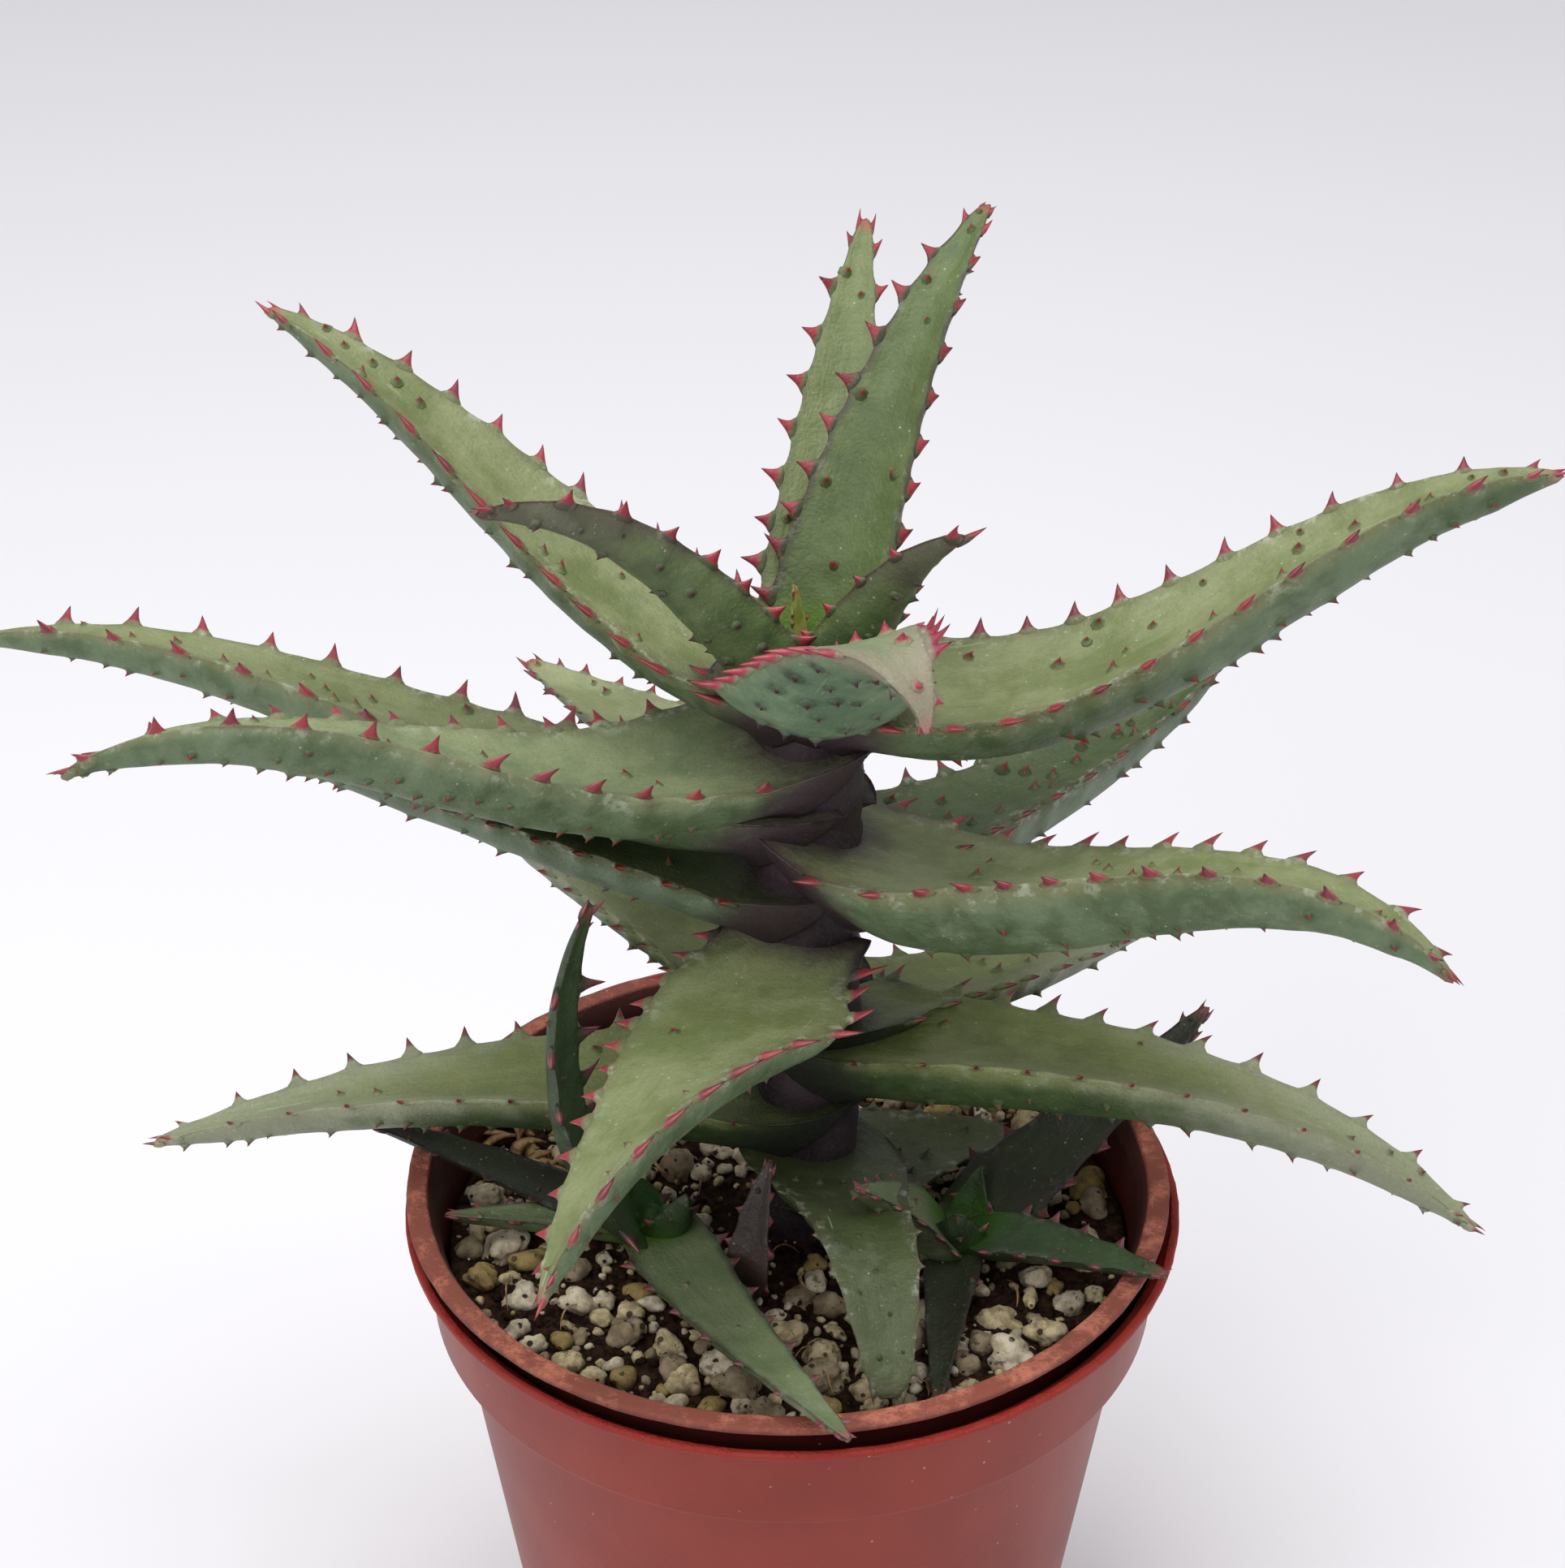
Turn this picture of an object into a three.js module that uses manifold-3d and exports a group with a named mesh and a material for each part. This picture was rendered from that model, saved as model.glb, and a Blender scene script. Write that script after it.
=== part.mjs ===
// A young hybrid aloe in a nursery pot that stands inside a second pot: a tall leafy stem, two
// offsets and a one-leafed shoot in gritty soil. Millimetres, +Z up. The origin is the centre of
// the outer pot's flat underside, +X is the plant's right and +Y its back.
import * as THREE from "three";
import { mergeVertices } from "three/addons/utils/BufferGeometryUtils.js";
import Module from "manifold-3d";

// Outer pot: a 10.5 cm nursery pot with a stepped collar under its lip.
const OUTER_POT = {
  height: 92,
  lipRadius: 52.5,
  lipDepth: 0.8,
  collarRadius: 50.4,
  collarFootRadius: 49.1,
  collarDepth: 14.4,
  bodyRadius: 46,
  footRadius: 35,
  wall: 0.9,
  floor: 1.2,
};
// Inner pot: a little slimmer, on a low foot ring, so that its rolled rim stands above the lip.
const INNER_POT = {
  x: -0.6,
  rimTop: 95.4,
  rimRadius: 51.6,
  rimInnerRadius: 49,
  rimDepth: 2.1,
  collarRadius: 48.3,
  collarFootRadius: 47.1,
  collarFoot: 79.5,
  bodyRadius: 44,
  footRadius: 33,
  ringRadius: 28,
  ringHeight: 2.2,
  wall: 0.9,
  floor: 1.1,
};
const POT_SIDES = 36;
const DRAIN = { count: 5, ring: 21, radius: 3.5, sides: 8 };

// Soil and its pumice grit. A stone's middle stands above the soil by showing times its radius.
const SOIL = { edge: 84.5, middle: 85.5, gap: 0.5, sides: 24 };
const HOLE_SIDES = 10;
const GRIT = {
  count: 54,
  smallest: 1.6,
  largest: 4.6,
  reach: 43.5,
  spacing: 0.9,
  lift: 0.6,
  showing: 0.25,
  tries: 1500,
};

// Main stem: the leaf bases clasp it one above the other, and it ends in a small bud. CLEARANCE is
// the gap kept where one piece is cut to fit round another.
const STEM = { x: 2, y: 4, foot: 60, radius: 7.5, sheath: 0.5, shoulder: 164, bud: 186, sides: 14 };
const CLEARANCE = 0.3;

// One section of a leaf: a hollowed upper face, a thin margin and a full rounded underside.
const MARGIN_DEPTH = 1.4;
const UNDERSIDE_FULLNESS = 0.95;
const ROOT_SINK = 4;
const ROW_GROWTH = 1.25;
const WIDTH_TAPER = 0.72;
const DEPTH_TAPER = 0.65;
const TIP_DEPTH = 0.9;
const CLASP_LENGTH = 20;
const TOOTH = { length: 3, halfBase: 1.7, mostBase: 0.36, lean: 0.35 };
const OFFSET_LEAF_SEEDS = 17;

// Leaves of the main stem, lowest first. height is where a leaf leaves the stem. Angles are in
// degrees: azimuth 0 points right and 90 away, swing is the turn from root to tip, rise holds the
// slope at root, middle and tip, and roll the twist at root and tip. channel is the hollow of the
// upper face at root and tip, as a share of half the width. rows is the number of sections, with
// a tooth a side between them. core is the stem's radius at the root, and a low taper gives a
// blunt tip.
const LEAVES = [
  { name: "leaf_01", height: 92, azimuth: 21, swing: -2, rise: [2, -3, -8], roll: [0, 5],
    length: 23, width: 14.5, depth: 4.5, channel: [0.1, 0.3], rows: 6, taper: 0.45 },
  { name: "leaf_02", height: 99, azimuth: 287, swing: -13, rise: [15, 1, -72], roll: [-11, 0],
    length: 46.5, width: 17, depth: 5, channel: [0.05, 0.15], rows: 8, taper: 0.45 },
  { name: "leaf_03", height: 107.5, azimuth: 181, swing: -1, rise: [6, -6, -22], roll: [-3, 10],
    length: 83, width: 21, depth: 8, channel: [0.18, 0.35], rows: 12 },
  { name: "leaf_04", height: 117.5, azimuth: 347, swing: 0, rise: [1, -9, -44], roll: [-6, -5],
    length: 87, width: 20, depth: 9, channel: [0.13, 0.45], rows: 13 },
  { name: "leaf_05", height: 118, azimuth: 38, swing: 0, rise: [-14, -9, 0], roll: [-10, 4],
    length: 64, width: 17.5, depth: 7, channel: [0.15, 0.3], rows: 11 },
  { name: "leaf_06", height: 123, azimuth: 139, swing: -2, rise: [3, 2, 8], roll: [0, 0],
    length: 58, width: 17, depth: 7, channel: [0.1, 0.3], rows: 11 },
  { name: "leaf_07", height: 127, azimuth: 244, swing: -4, rise: [11, 2, -55], roll: [-19, 47],
    length: 66, width: 26.5, depth: 8, channel: [0.26, 0.37], rows: 12 },
  { name: "leaf_08", height: 140.5, azimuth: 168, swing: -3, rise: [7, 10, 5], roll: [2, -3],
    length: 72, width: 19, depth: 7.5, channel: [0.18, 0.36], rows: 12 },
  { name: "leaf_09", height: 142, azimuth: 35, swing: 2, rise: [-4, 5, 12], roll: [-4, -6],
    length: 72, width: 20, depth: 9.5, channel: [0.16, 0.44], rows: 12 },
  { name: "leaf_10", height: 145, azimuth: 336, swing: -1, rise: [-4, 14, -40], roll: [-9, -21],
    length: 81, width: 28, depth: 8.5, channel: [0.13, 0.41], rows: 13 },
  { name: "leaf_11", height: 150.5, azimuth: 168, swing: -1, rise: [-5, 15, -19], roll: [3, 18],
    length: 109, width: 19.5, depth: 8.5, channel: [0.06, 0.42], rows: 14 },
  { name: "leaf_12", height: 151, azimuth: 134, swing: 0, rise: [2, -3, 6], roll: [0, -6],
    length: 48, width: 17.5, depth: 6.5, channel: [0.08, 0.32], rows: 10 },
  { name: "leaf_13", height: 158, azimuth: 195, swing: 3, rise: [-12, 22, -24], roll: [-3, 33],
    length: 88, width: 24, depth: 8, channel: [0.16, 0.39], rows: 13 },
  { name: "leaf_14", height: 168, azimuth: 6, swing: 0, rise: [-21, 29, -3], roll: [3, -8],
    length: 93, width: 23, depth: 9, channel: [0.11, 0.6], rows: 14 },
  { name: "leaf_15", height: 171.5, azimuth: 278, swing: 30, rise: [20, 40, -95], roll: [-10, 6],
    length: 44, width: 27, depth: 5.5, channel: [0, 0.2], rows: 10, core: 6 },
  { name: "leaf_16", height: 170.5, azimuth: 156, swing: -3, rise: [6, 35, 13], roll: [-5, 5],
    length: 80, width: 21.5, depth: 7.5, channel: [0.1, 0.43], rows: 12, core: 6 },
  { name: "leaf_17", height: 172, azimuth: 81, swing: -2, rise: [52, 48, 36], roll: [0, 5],
    length: 58, width: 16.5, depth: 4, channel: [0.1, 0.36], rows: 10, core: 4 },
  { name: "leaf_18", height: 173.5, azimuth: 62, swing: -4, rise: [60, 48, 23], roll: [-2, 0],
    length: 62, width: 17, depth: 4.5, channel: [0.27, 0.4], rows: 11, core: 4 },
  { name: "leaf_19", height: 173, azimuth: 208, swing: 1, rise: [49, 43, 3], roll: [30, 40],
    length: 52, width: 13.5, depth: 4.5, channel: [0.1, 0.45], rows: 9, core: 4 },
  { name: "leaf_20", height: 172.5, azimuth: 316, swing: -3, rise: [57, 54, 31], roll: [-32, -29],
    length: 35, width: 12, depth: 3, channel: [0.1, 0.36], rows: 6, core: 3.5 },
];

// Young shoots beside the stem. Each is a short stem with its own leaves, grown together.
const OFFSETS = [
  { name: "offset_left", x: -19, y: -3.5, foot: 76, top: 91, core: 2.5,
    leaves: [
      { height: 88.5, azimuth: 166, swing: 0, rise: [22, 16, 12], roll: [0, -8],
        length: 41, width: 9.5, depth: 2, channel: [0.1, 0.3], rows: 6 },
      { height: 90, azimuth: 184, swing: 0, rise: [14, 4, 6], roll: [1, 7],
        length: 25.5, width: 8.5, depth: 2.5, channel: [0.1, 0.35], rows: 5 },
      { height: 91, azimuth: 290, swing: 10, rise: [3, 12, 8], roll: [5, -5],
        length: 60, width: 13, depth: 3.5, channel: [0.1, 0.3], rows: 8 },
      { height: 91, azimuth: 232, swing: -62, rise: [49, 84, 98], roll: [-30, -46],
        length: 56, width: 11, depth: 2.5, channel: [0.1, 0.36], rows: 8 },
      { height: 90, azimuth: 200, swing: 0, rise: [70, 72, 80], roll: [0, 0],
        length: 10, width: 5, depth: 1.5, channel: [0.2, 0.5], rows: 3 },
    ] },
  { name: "offset_right", x: 22.5, y: -4.5, foot: 76, top: 90, core: 2.5,
    leaves: [
      { height: 90, azimuth: 321, swing: -1, rise: [30, 17, 4], roll: [2, 8],
        length: 32, width: 10.5, depth: 2.5, channel: [0.15, 0.3], rows: 6 },
      { height: 89.5, azimuth: 35, swing: 1, rise: [28, 22, 33], roll: [3, 0],
        length: 45, width: 15, depth: 2.5, channel: [0.1, 0.3], rows: 7 },
      { height: 90, azimuth: 229, swing: 0, rise: [81, 52, 0], roll: [0, 0],
        length: 27.5, width: 12.5, depth: 2.5, channel: [0.1, 0.3], rows: 6 },
      { height: 90, azimuth: 262, swing: 2, rise: [2, -5, -3], roll: [1, 3],
        length: 32, width: 9, depth: 2, channel: [0.1, 0.35], rows: 4 },
      { height: 88, azimuth: 60, swing: 0, rise: [72, 74, 78], roll: [0, 0],
        length: 11, width: 5, depth: 1.5, channel: [0.2, 0.5], rows: 3 },
    ] },
  { name: "shoot_middle", x: -7, y: -16.8, foot: 78, top: 88.5, core: 1.6,
    leaves: [
      { height: 88.5, azimuth: 60, swing: 0, rise: [76, 70, 50], roll: [0, 0],
        length: 18, width: 7, depth: 2, channel: [0.2, 0.4], rows: 4 },
    ] },
];

// Finishes.
const FINISHES = {
  leaf: { color: 0x7f9a72, roughness: 0.55, metalness: 0 },
  youngLeaf: { color: 0x4f5a48, roughness: 0.5, metalness: 0 },
  offset: { color: 0x3f5c44, roughness: 0.5, metalness: 0 },
  stem: { color: 0x5a454a, roughness: 0.55, metalness: 0 },
  soil: { color: 0x6d6150, roughness: 0.95, metalness: 0 },
  outerPot: { color: 0xa34631, roughness: 0.4, metalness: 0 },
  innerPot: { color: 0xa8604f, roughness: 0.5, metalness: 0 },
};

const wasm = await Module();
wasm.setup();

// Repeatable random numbers from 0 to 1.
function seeded(seed) {
  let state = seed;
  return () => {
    state = (state * 1664525 + 1013904223) % 4294967296;
    return state / 4294967296;
  };
}

function between(random, low, high) {
  return low + (high - low) * random();
}

// The quadratic that passes through three values at t = 0, 0.5 and 1.
function bend([start, middle, end], t) {
  return start * (1 - t) * (1 - 2 * t) + 4 * middle * t * (1 - t) + end * t * (2 * t - 1);
}

function blend([start, end], t) {
  return start + (end - start) * t;
}

// A closed geometry as a solid that can be joined and cut.
function toSolid(geometry) {
  const bare = geometry.clone();
  bare.deleteAttribute("normal");
  bare.deleteAttribute("uv");
  const merged = mergeVertices(bare, 1e-4);
  const vertProperties = new Float32Array(merged.attributes.position.array);
  const triVerts = new Uint32Array(merged.index.array);
  const solid = new wasm.Manifold(new wasm.Mesh({ numProp: 3, vertProperties, triVerts }));
  if (solid.volume() >= 0) return solid;
  for (let i = 0; i < triVerts.length; i += 3) {
    const first = triVerts[i];
    triVerts[i] = triVerts[i + 1];
    triVerts[i + 1] = first;
  }
  return new wasm.Manifold(new wasm.Mesh({ numProp: 3, vertProperties, triVerts }));
}

// The largest single body of a solid, so that cutting leaves no loose scrap.
function largestBody(solid) {
  const bodies = solid.decompose();
  return bodies.reduce((best, body) => (body.volume() > best.volume() ? body : best));
}

function toMesh(name, solid, finish) {
  const { numProp, vertProperties, triVerts } = solid.getMesh();
  const positions = new Float32Array((vertProperties.length / numProp) * 3);
  for (let i = 0; i < positions.length / 3; i++) {
    positions.set(vertProperties.subarray(i * numProp, i * numProp + 3), i * 3);
  }
  const geometry = new THREE.BufferGeometry();
  geometry.setAttribute("position", new THREE.BufferAttribute(positions, 3));
  geometry.setIndex(new THREE.BufferAttribute(new Uint32Array(triVerts), 1));
  geometry.computeVertexNormals();
  const mesh = new THREE.Mesh(geometry, new THREE.MeshStandardMaterial(finish));
  mesh.name = name;
  return mesh;
}

// A turned solid from [radius, height] pairs that start and end on the axis.
function turned(profile, sides, x = 0, y = 0) {
  const points = profile.map(([radius, z]) => new THREE.Vector2(radius, z));
  const geometry = new THREE.LatheGeometry(points, sides);
  geometry.rotateX(Math.PI / 2);
  geometry.translate(x, y, 0);
  return toSolid(geometry);
}

function drainHoles(ring, turn, height, x) {
  const holes = [];
  for (let i = 0; i < DRAIN.count; i++) {
    const angle = turn + (2 * Math.PI * i) / DRAIN.count;
    const hole = new THREE.CylinderGeometry(DRAIN.radius, DRAIN.radius, height, DRAIN.sides);
    hole.rotateX(Math.PI / 2);
    hole.translate(x + ring * Math.cos(angle), ring * Math.sin(angle), 0);
    holes.push(toSolid(hole));
  }
  return holes;
}

function outerPot() {
  const p = OUTER_POT;
  const collarFoot = p.height - p.collarDepth;
  const lipFoot = p.height - p.lipDepth;
  const profile = [
    [0, 0],
    [p.footRadius - 1, 0],
    [p.footRadius, 1],
    [p.bodyRadius, collarFoot - 1.1],
    [p.collarFootRadius, collarFoot],
    [p.collarRadius, lipFoot - 0.4],
    [p.lipRadius, lipFoot],
    [p.lipRadius, p.height],
    [p.collarRadius - 0.1, p.height],
    [p.collarRadius - p.wall, lipFoot - 0.4],
    [p.collarFootRadius - p.wall, collarFoot - 0.4],
    [p.bodyRadius - p.wall, collarFoot - 1.4],
    [p.footRadius - p.wall, p.floor],
    [0, p.floor],
  ];
  return drainHoles(DRAIN.ring, 0.3, 8, 0).reduce(
    (pot, hole) => pot.subtract(hole),
    turned(profile, POT_SIDES),
  );
}

function innerPot() {
  const p = INNER_POT;
  const standing = OUTER_POT.floor;
  const underside = standing + p.ringHeight;
  const rimFoot = p.rimTop - p.rimDepth;
  const profile = [
    [0, underside],
    [p.ringRadius, underside],
    [p.ringRadius + 0.6, standing],
    [p.footRadius - 0.8, standing],
    [p.footRadius, underside],
    [p.bodyRadius, p.collarFoot - 2],
    [p.collarFootRadius, p.collarFoot],
    [p.collarRadius, rimFoot - 0.7],
    [p.rimRadius - 0.6, rimFoot],
    [p.rimRadius, rimFoot + 0.6],
    [p.rimRadius, p.rimTop - 0.5],
    [p.rimRadius - 0.4, p.rimTop],
    [p.rimInnerRadius, p.rimTop],
    [p.collarRadius - p.wall, rimFoot - 0.9],
    [p.collarFootRadius - p.wall, p.collarFoot - 0.3],
    [p.bodyRadius - p.wall, p.collarFoot - 1.5],
    [p.footRadius - p.wall, underside + p.floor],
    [0, underside + p.floor],
  ];
  const pot = turned(profile, POT_SIDES, p.x);
  return drainHoles(DRAIN.ring, 0.9, 16, p.x).reduce((body, hole) => body.subtract(hole), pot);
}

// One leaf of the rosette, or of an offset, about the upright axis through (x, y).
class Leaf {
  constructor(spec, x, y, seed, grow = 0) {
    Object.assign(this, spec);
    this.core = spec.core ?? STEM.radius;
    this.taper = spec.taper ?? WIDTH_TAPER;
    this.clasp = Math.min(CLASP_LENGTH, (CLASP_LENGTH * this.core) / STEM.radius);
    this.x = x;
    this.y = y;
    this.random = seeded(seed);
    this.grow = grow;
    this.middle = this.centreLine(48);
  }

  direction(t) {
    const rise = THREE.MathUtils.degToRad(bend(this.rise, t));
    const azimuth = THREE.MathUtils.degToRad(this.azimuth + this.swing * t);
    const level = Math.cos(rise);
    return new THREE.Vector3(level * Math.cos(azimuth), level * Math.sin(azimuth), Math.sin(rise));
  }

  // Points along the middle of the upper face, from the stem's surface to the tip.
  centreLine(steps) {
    const azimuth = THREE.MathUtils.degToRad(this.azimuth);
    const point = new THREE.Vector3(
      this.x + this.core * Math.cos(azimuth),
      this.y + this.core * Math.sin(azimuth),
      this.height,
    );
    const points = [point.clone()];
    for (let i = 0; i < steps; i++) {
      point.addScaledVector(this.direction((i + 0.5) / steps), this.length / steps);
      points.push(point.clone());
    }
    return points;
  }

  centre(t) {
    const place = Math.min(t, 1) * (this.middle.length - 1);
    const index = Math.min(Math.floor(place), this.middle.length - 2);
    return this.middle[index].clone().lerp(this.middle[index + 1], place - index);
  }

  halfWidth(t) {
    const opening = Math.min(t / 0.2, 1);
    const shape = Math.max(1 - t, 0) ** this.taper * (0.8 + 0.2 * opening * (2 - opening));
    return (this.width * shape) / 2 + this.grow;
  }

  thickness(t) {
    return this.depth * Math.max(1 - t, 0) ** DEPTH_TAPER + TIP_DEPTH;
  }

  // Along, across and up at t, with the leaf's roll.
  axes(t) {
    const along = this.direction(t);
    const azimuth = THREE.MathUtils.degToRad(this.azimuth + this.swing * t);
    const level = new THREE.Vector3(-Math.sin(azimuth), Math.cos(azimuth), 0);
    const roll = THREE.MathUtils.degToRad(blend(this.roll, t));
    const across = level.applyAxisAngle(along, roll);
    return { along, across, up: along.clone().cross(across) };
  }

  // A point of the section at t: u runs from -1 to 1 across the leaf, drop goes down from the
  // upper face. Near the root the section bends round the stem.
  point(t, u, drop, share = 1, back = 0) {
    const { along, across, up } = this.axes(t);
    const half = this.halfWidth(t) * share;
    const hug = Math.max(1 - (t * this.length) / this.clasp, 0) ** 2 / this.core + 1e-6;
    const turn = u * half * hug;
    const hollow = blend(this.channel, t) * half * u * u;
    return this.centre(t)
      .addScaledVector(across, Math.sin(turn) / hug)
      .addScaledVector(along, -(1 - Math.cos(turn)) / hug - back)
      .addScaledVector(up, hollow - drop);
  }

  section(t, share, back) {
    const deep = this.thickness(t);
    const rim = Math.min(MARGIN_DEPTH, deep / 2) + this.grow;
    const under = deep * UNDERSIDE_FULLNESS + this.grow;
    const corners = [
      [1, -this.grow],
      [0, -this.grow],
      [-1, -this.grow],
      [-1, rim],
      [-0.5, under],
      [0.5, under],
      [1, rim],
    ];
    return corners.map(([u, drop]) => this.point(t, u, drop, share, back));
  }

  solid() {
    const rings = [this.section(0, 0.6, Math.min(ROOT_SINK, this.core))];
    for (let i = 0; i < this.rows; i++) {
      rings.push(this.section((i / this.rows) ** ROW_GROWTH));
    }
    const sides = rings[0].length;
    const vertices = rings.flat();
    const faces = [];
    const quad = (a, b, c, d) => faces.push([a, b, c], [a, c, d]);
    for (let k = 1; k < sides - 1; k++) faces.push([0, k + 1, k]);
    for (let row = 0; row < rings.length - 1; row++) {
      for (let k = 0; k < sides; k++) {
        const next = (k + 1) % sides;
        const corners = [row * sides + k, row * sides + next];
        corners.push(corners[1] + sides, corners[0] + sides);
        const isMargin = k === 2 || k === 6;
        if (isMargin && row > 0) this.addTooth(vertices, faces, corners, row);
        else quad(...corners);
      }
    }
    const tip = vertices.push(this.point(1, 0, TIP_DEPTH / 2)) - 1;
    const last = (rings.length - 1) * sides;
    for (let k = 0; k < sides; k++) faces.push([last + k, last + ((k + 1) % sides), tip]);
    const geometry = new THREE.BufferGeometry().setFromPoints(vertices);
    geometry.setIndex(faces.flat());
    return toSolid(geometry);
  }

  // A tooth is raised from one stretch of the margin, so that it grows out of the leaf.
  addTooth(vertices, faces, corners, row) {
    const [a, b, c, d] = corners.map((index) => vertices[index]);
    const onMargin = (along, down) =>
      a.clone().lerp(d, along).lerp(b.clone().lerp(c, along), down);
    const stretch = a.distanceTo(d);
    const spare = 2 * this.grow;
    const half = Math.min(TOOTH.halfBase / stretch, TOOTH.mostBase) + spare / stretch;
    const middle = between(this.random, 0.45, 0.55);
    const base = [
      onMargin(middle - half, 0.5),
      onMargin(middle + half, 0.88),
      onMargin(middle + half, 0.12),
    ];
    const forward = d.clone().sub(a).normalize();
    const t = ((row - 0.5) / this.rows) ** ROW_GROWTH;
    const centre = this.point(t, 0, 0);
    const outward = a.clone().add(d).multiplyScalar(0.5).sub(centre);
    outward.addScaledVector(forward, -outward.dot(forward)).normalize();
    const size = Math.min(1, 0.25 + this.width / 26) * (1 - 0.3 * t);
    const reach = TOOTH.length * size * between(this.random, 0.85, 1.15) + spare;
    const apex = onMargin(middle, 0.35)
      .addScaledVector(outward, reach)
      .addScaledVector(forward, TOOTH.lean * reach);
    const heel = vertices.push(...base, apex) - 4;
    const [low, high, point] = [heel + 1, heel + 2, heel + 3];
    const [nearHigh, nearLow, farLow, farHigh] = corners;
    faces.push([nearHigh, nearLow, heel], [nearLow, low, heel], [nearLow, farLow, low]);
    faces.push([farLow, high, low], [farLow, farHigh, high], [farHigh, heel, high]);
    faces.push([farHigh, nearHigh, heel]);
    faces.push([heel, low, point], [low, high, point], [high, heel, point]);
  }
}

// The main stem: each leaf base adds a sheath that steps the outline, up to the pointed bud.
function mainStem(grow) {
  const profile = [
    [0, STEM.foot - grow],
    [STEM.radius - 1.5 + grow, STEM.foot - grow],
    [STEM.radius - 0.8 + grow, SOIL.edge],
  ];
  const clasped = LEAVES.filter((leaf) => leaf.height > 100 && leaf.height < STEM.shoulder - 4);
  const heights = [...new Set(clasped.map((leaf) => Math.round(leaf.height / 9) * 9 - 4))];
  for (const height of heights.sort((a, b) => a - b)) {
    profile.push([STEM.radius + STEM.sheath + grow, height]);
    profile.push([STEM.radius - STEM.sheath + grow, height + 1.5]);
  }
  profile.push([STEM.radius - 1 + grow, STEM.shoulder]);
  profile.push([STEM.radius - 3.5 + grow, STEM.shoulder + 10]);
  profile.push([1.4 + grow, STEM.shoulder + 16]);
  profile.push([0, STEM.bud + grow]);
  return turned(profile, STEM.sides, STEM.x, STEM.y);
}

// An offset: its short stem with every leaf joined on.
function offset(spec, seed, grow = 0) {
  const { x, y, foot, top, core } = spec;
  const profile = [
    [0, foot - grow],
    [core * 0.7 + grow, foot - grow],
    [core + 0.6 + grow, SOIL.edge - 2],
    [core + 0.4 + grow, top - 2],
    [core * 0.4 + grow, top + 1],
    [0, top + 1.6 + grow],
  ];
  let body = turned(profile, 10, x, y);
  spec.leaves.forEach((leafSpec, i) => {
    const leaf = new Leaf({ ...leafSpec, core }, x, y, seed + i * OFFSET_LEAF_SEEDS, grow);
    body = body.add(leaf.solid());
  });
  return largestBody(body);
}

function pebble(random, radius, x, y, z) {
  const geometry = new THREE.IcosahedronGeometry(radius, 0);
  const stretch = [between(random, 0.8, 1.25), between(random, 0.8, 1.1), between(random, 0.7, 0.95)];
  geometry.scale(...stretch);
  geometry.rotateX(between(random, 0, Math.PI));
  geometry.rotateY(between(random, 0, Math.PI));
  geometry.rotateZ(between(random, 0, Math.PI));
  geometry.translate(x, y, z);
  return toSolid(geometry);
}

// A plain round hole for a foot, open at the top.
function plantingHole(foot, radius, x, y) {
  const width = radius + CLEARANCE;
  const profile = [
    [0, foot - CLEARANCE],
    [width, foot - CLEARANCE],
    [width, INNER_POT.rimTop],
    [0, INNER_POT.rimTop],
  ];
  return turned(profile, HOLE_SIDES, x, y);
}

// Soil to the inner pot's wall, with pumice half sunk in its top wherever it clears the plants.
function soil(plants) {
  const p = INNER_POT;
  const bed = OUTER_POT.floor + p.ringHeight + p.floor;
  const wallGap = p.wall + SOIL.gap;
  const profile = [
    [0, bed],
    [p.footRadius - wallGap, bed],
    [p.bodyRadius - wallGap, p.collarFoot - 1],
    [p.collarFootRadius - wallGap, p.collarFoot + 0.2],
    [p.collarFootRadius - wallGap + 0.3, SOIL.edge],
    [14, SOIL.middle],
    [0, SOIL.middle],
  ];
  let body = turned(profile, SOIL.sides, p.x);
  const random = seeded(41);
  const placed = [];
  for (let i = 0; i < GRIT.tries && placed.length < GRIT.count; i++) {
    const share = random() ** 2;
    const radius = GRIT.smallest + (GRIT.largest - GRIT.smallest) * share;
    const distance = (GRIT.reach - radius) * Math.sqrt(random());
    const angle = 2 * Math.PI * random();
    const x = p.x + distance * Math.cos(angle);
    const y = distance * Math.sin(angle);
    const tooNear = placed.some((other) => {
      return Math.hypot(other.x - x, other.y - y) < GRIT.spacing * (other.radius + radius);
    });
    if (tooNear) continue;
    const stone = pebble(random, radius, x, y, SOIL.edge + GRIT.lift + GRIT.showing * radius);
    if (plants.some((plant) => plant.intersect(stone).volume() > 0)) continue;
    placed.push({ x, y, radius });
    body = body.add(stone);
  }
  body = body.subtract(plantingHole(STEM.foot, STEM.radius, STEM.x, STEM.y));
  for (const { foot, core, x, y } of OFFSETS) {
    body = body.subtract(plantingHole(foot, core + 1.6, x, y));
  }
  return largestBody(body);
}

// Youngest leaves first: each older leaf is cut back where it clasps the stem and the younger ones.
const stem = mainStem(0);
const fittedLeaves = [];
const cutters = [mainStem(CLEARANCE)];
LEAVES.map((spec, index) => ({ spec, seed: 100 + index * 13 }))
  .reverse()
  .forEach(({ spec, seed }) => {
    let body = new Leaf(spec, STEM.x, STEM.y, seed).solid();
    for (const cutter of cutters) body = body.subtract(cutter);
    cutters.push(new Leaf(spec, STEM.x, STEM.y, seed, CLEARANCE).solid());
    fittedLeaves.unshift({ name: spec.name, young: spec.core === undefined, body: largestBody(body) });
  });

const offsets = OFFSETS.map((spec, i) => ({
  name: spec.name,
  body: offset(spec, 500 + i * 31),
  grown: offset(spec, 500 + i * 31, CLEARANCE),
}));

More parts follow.
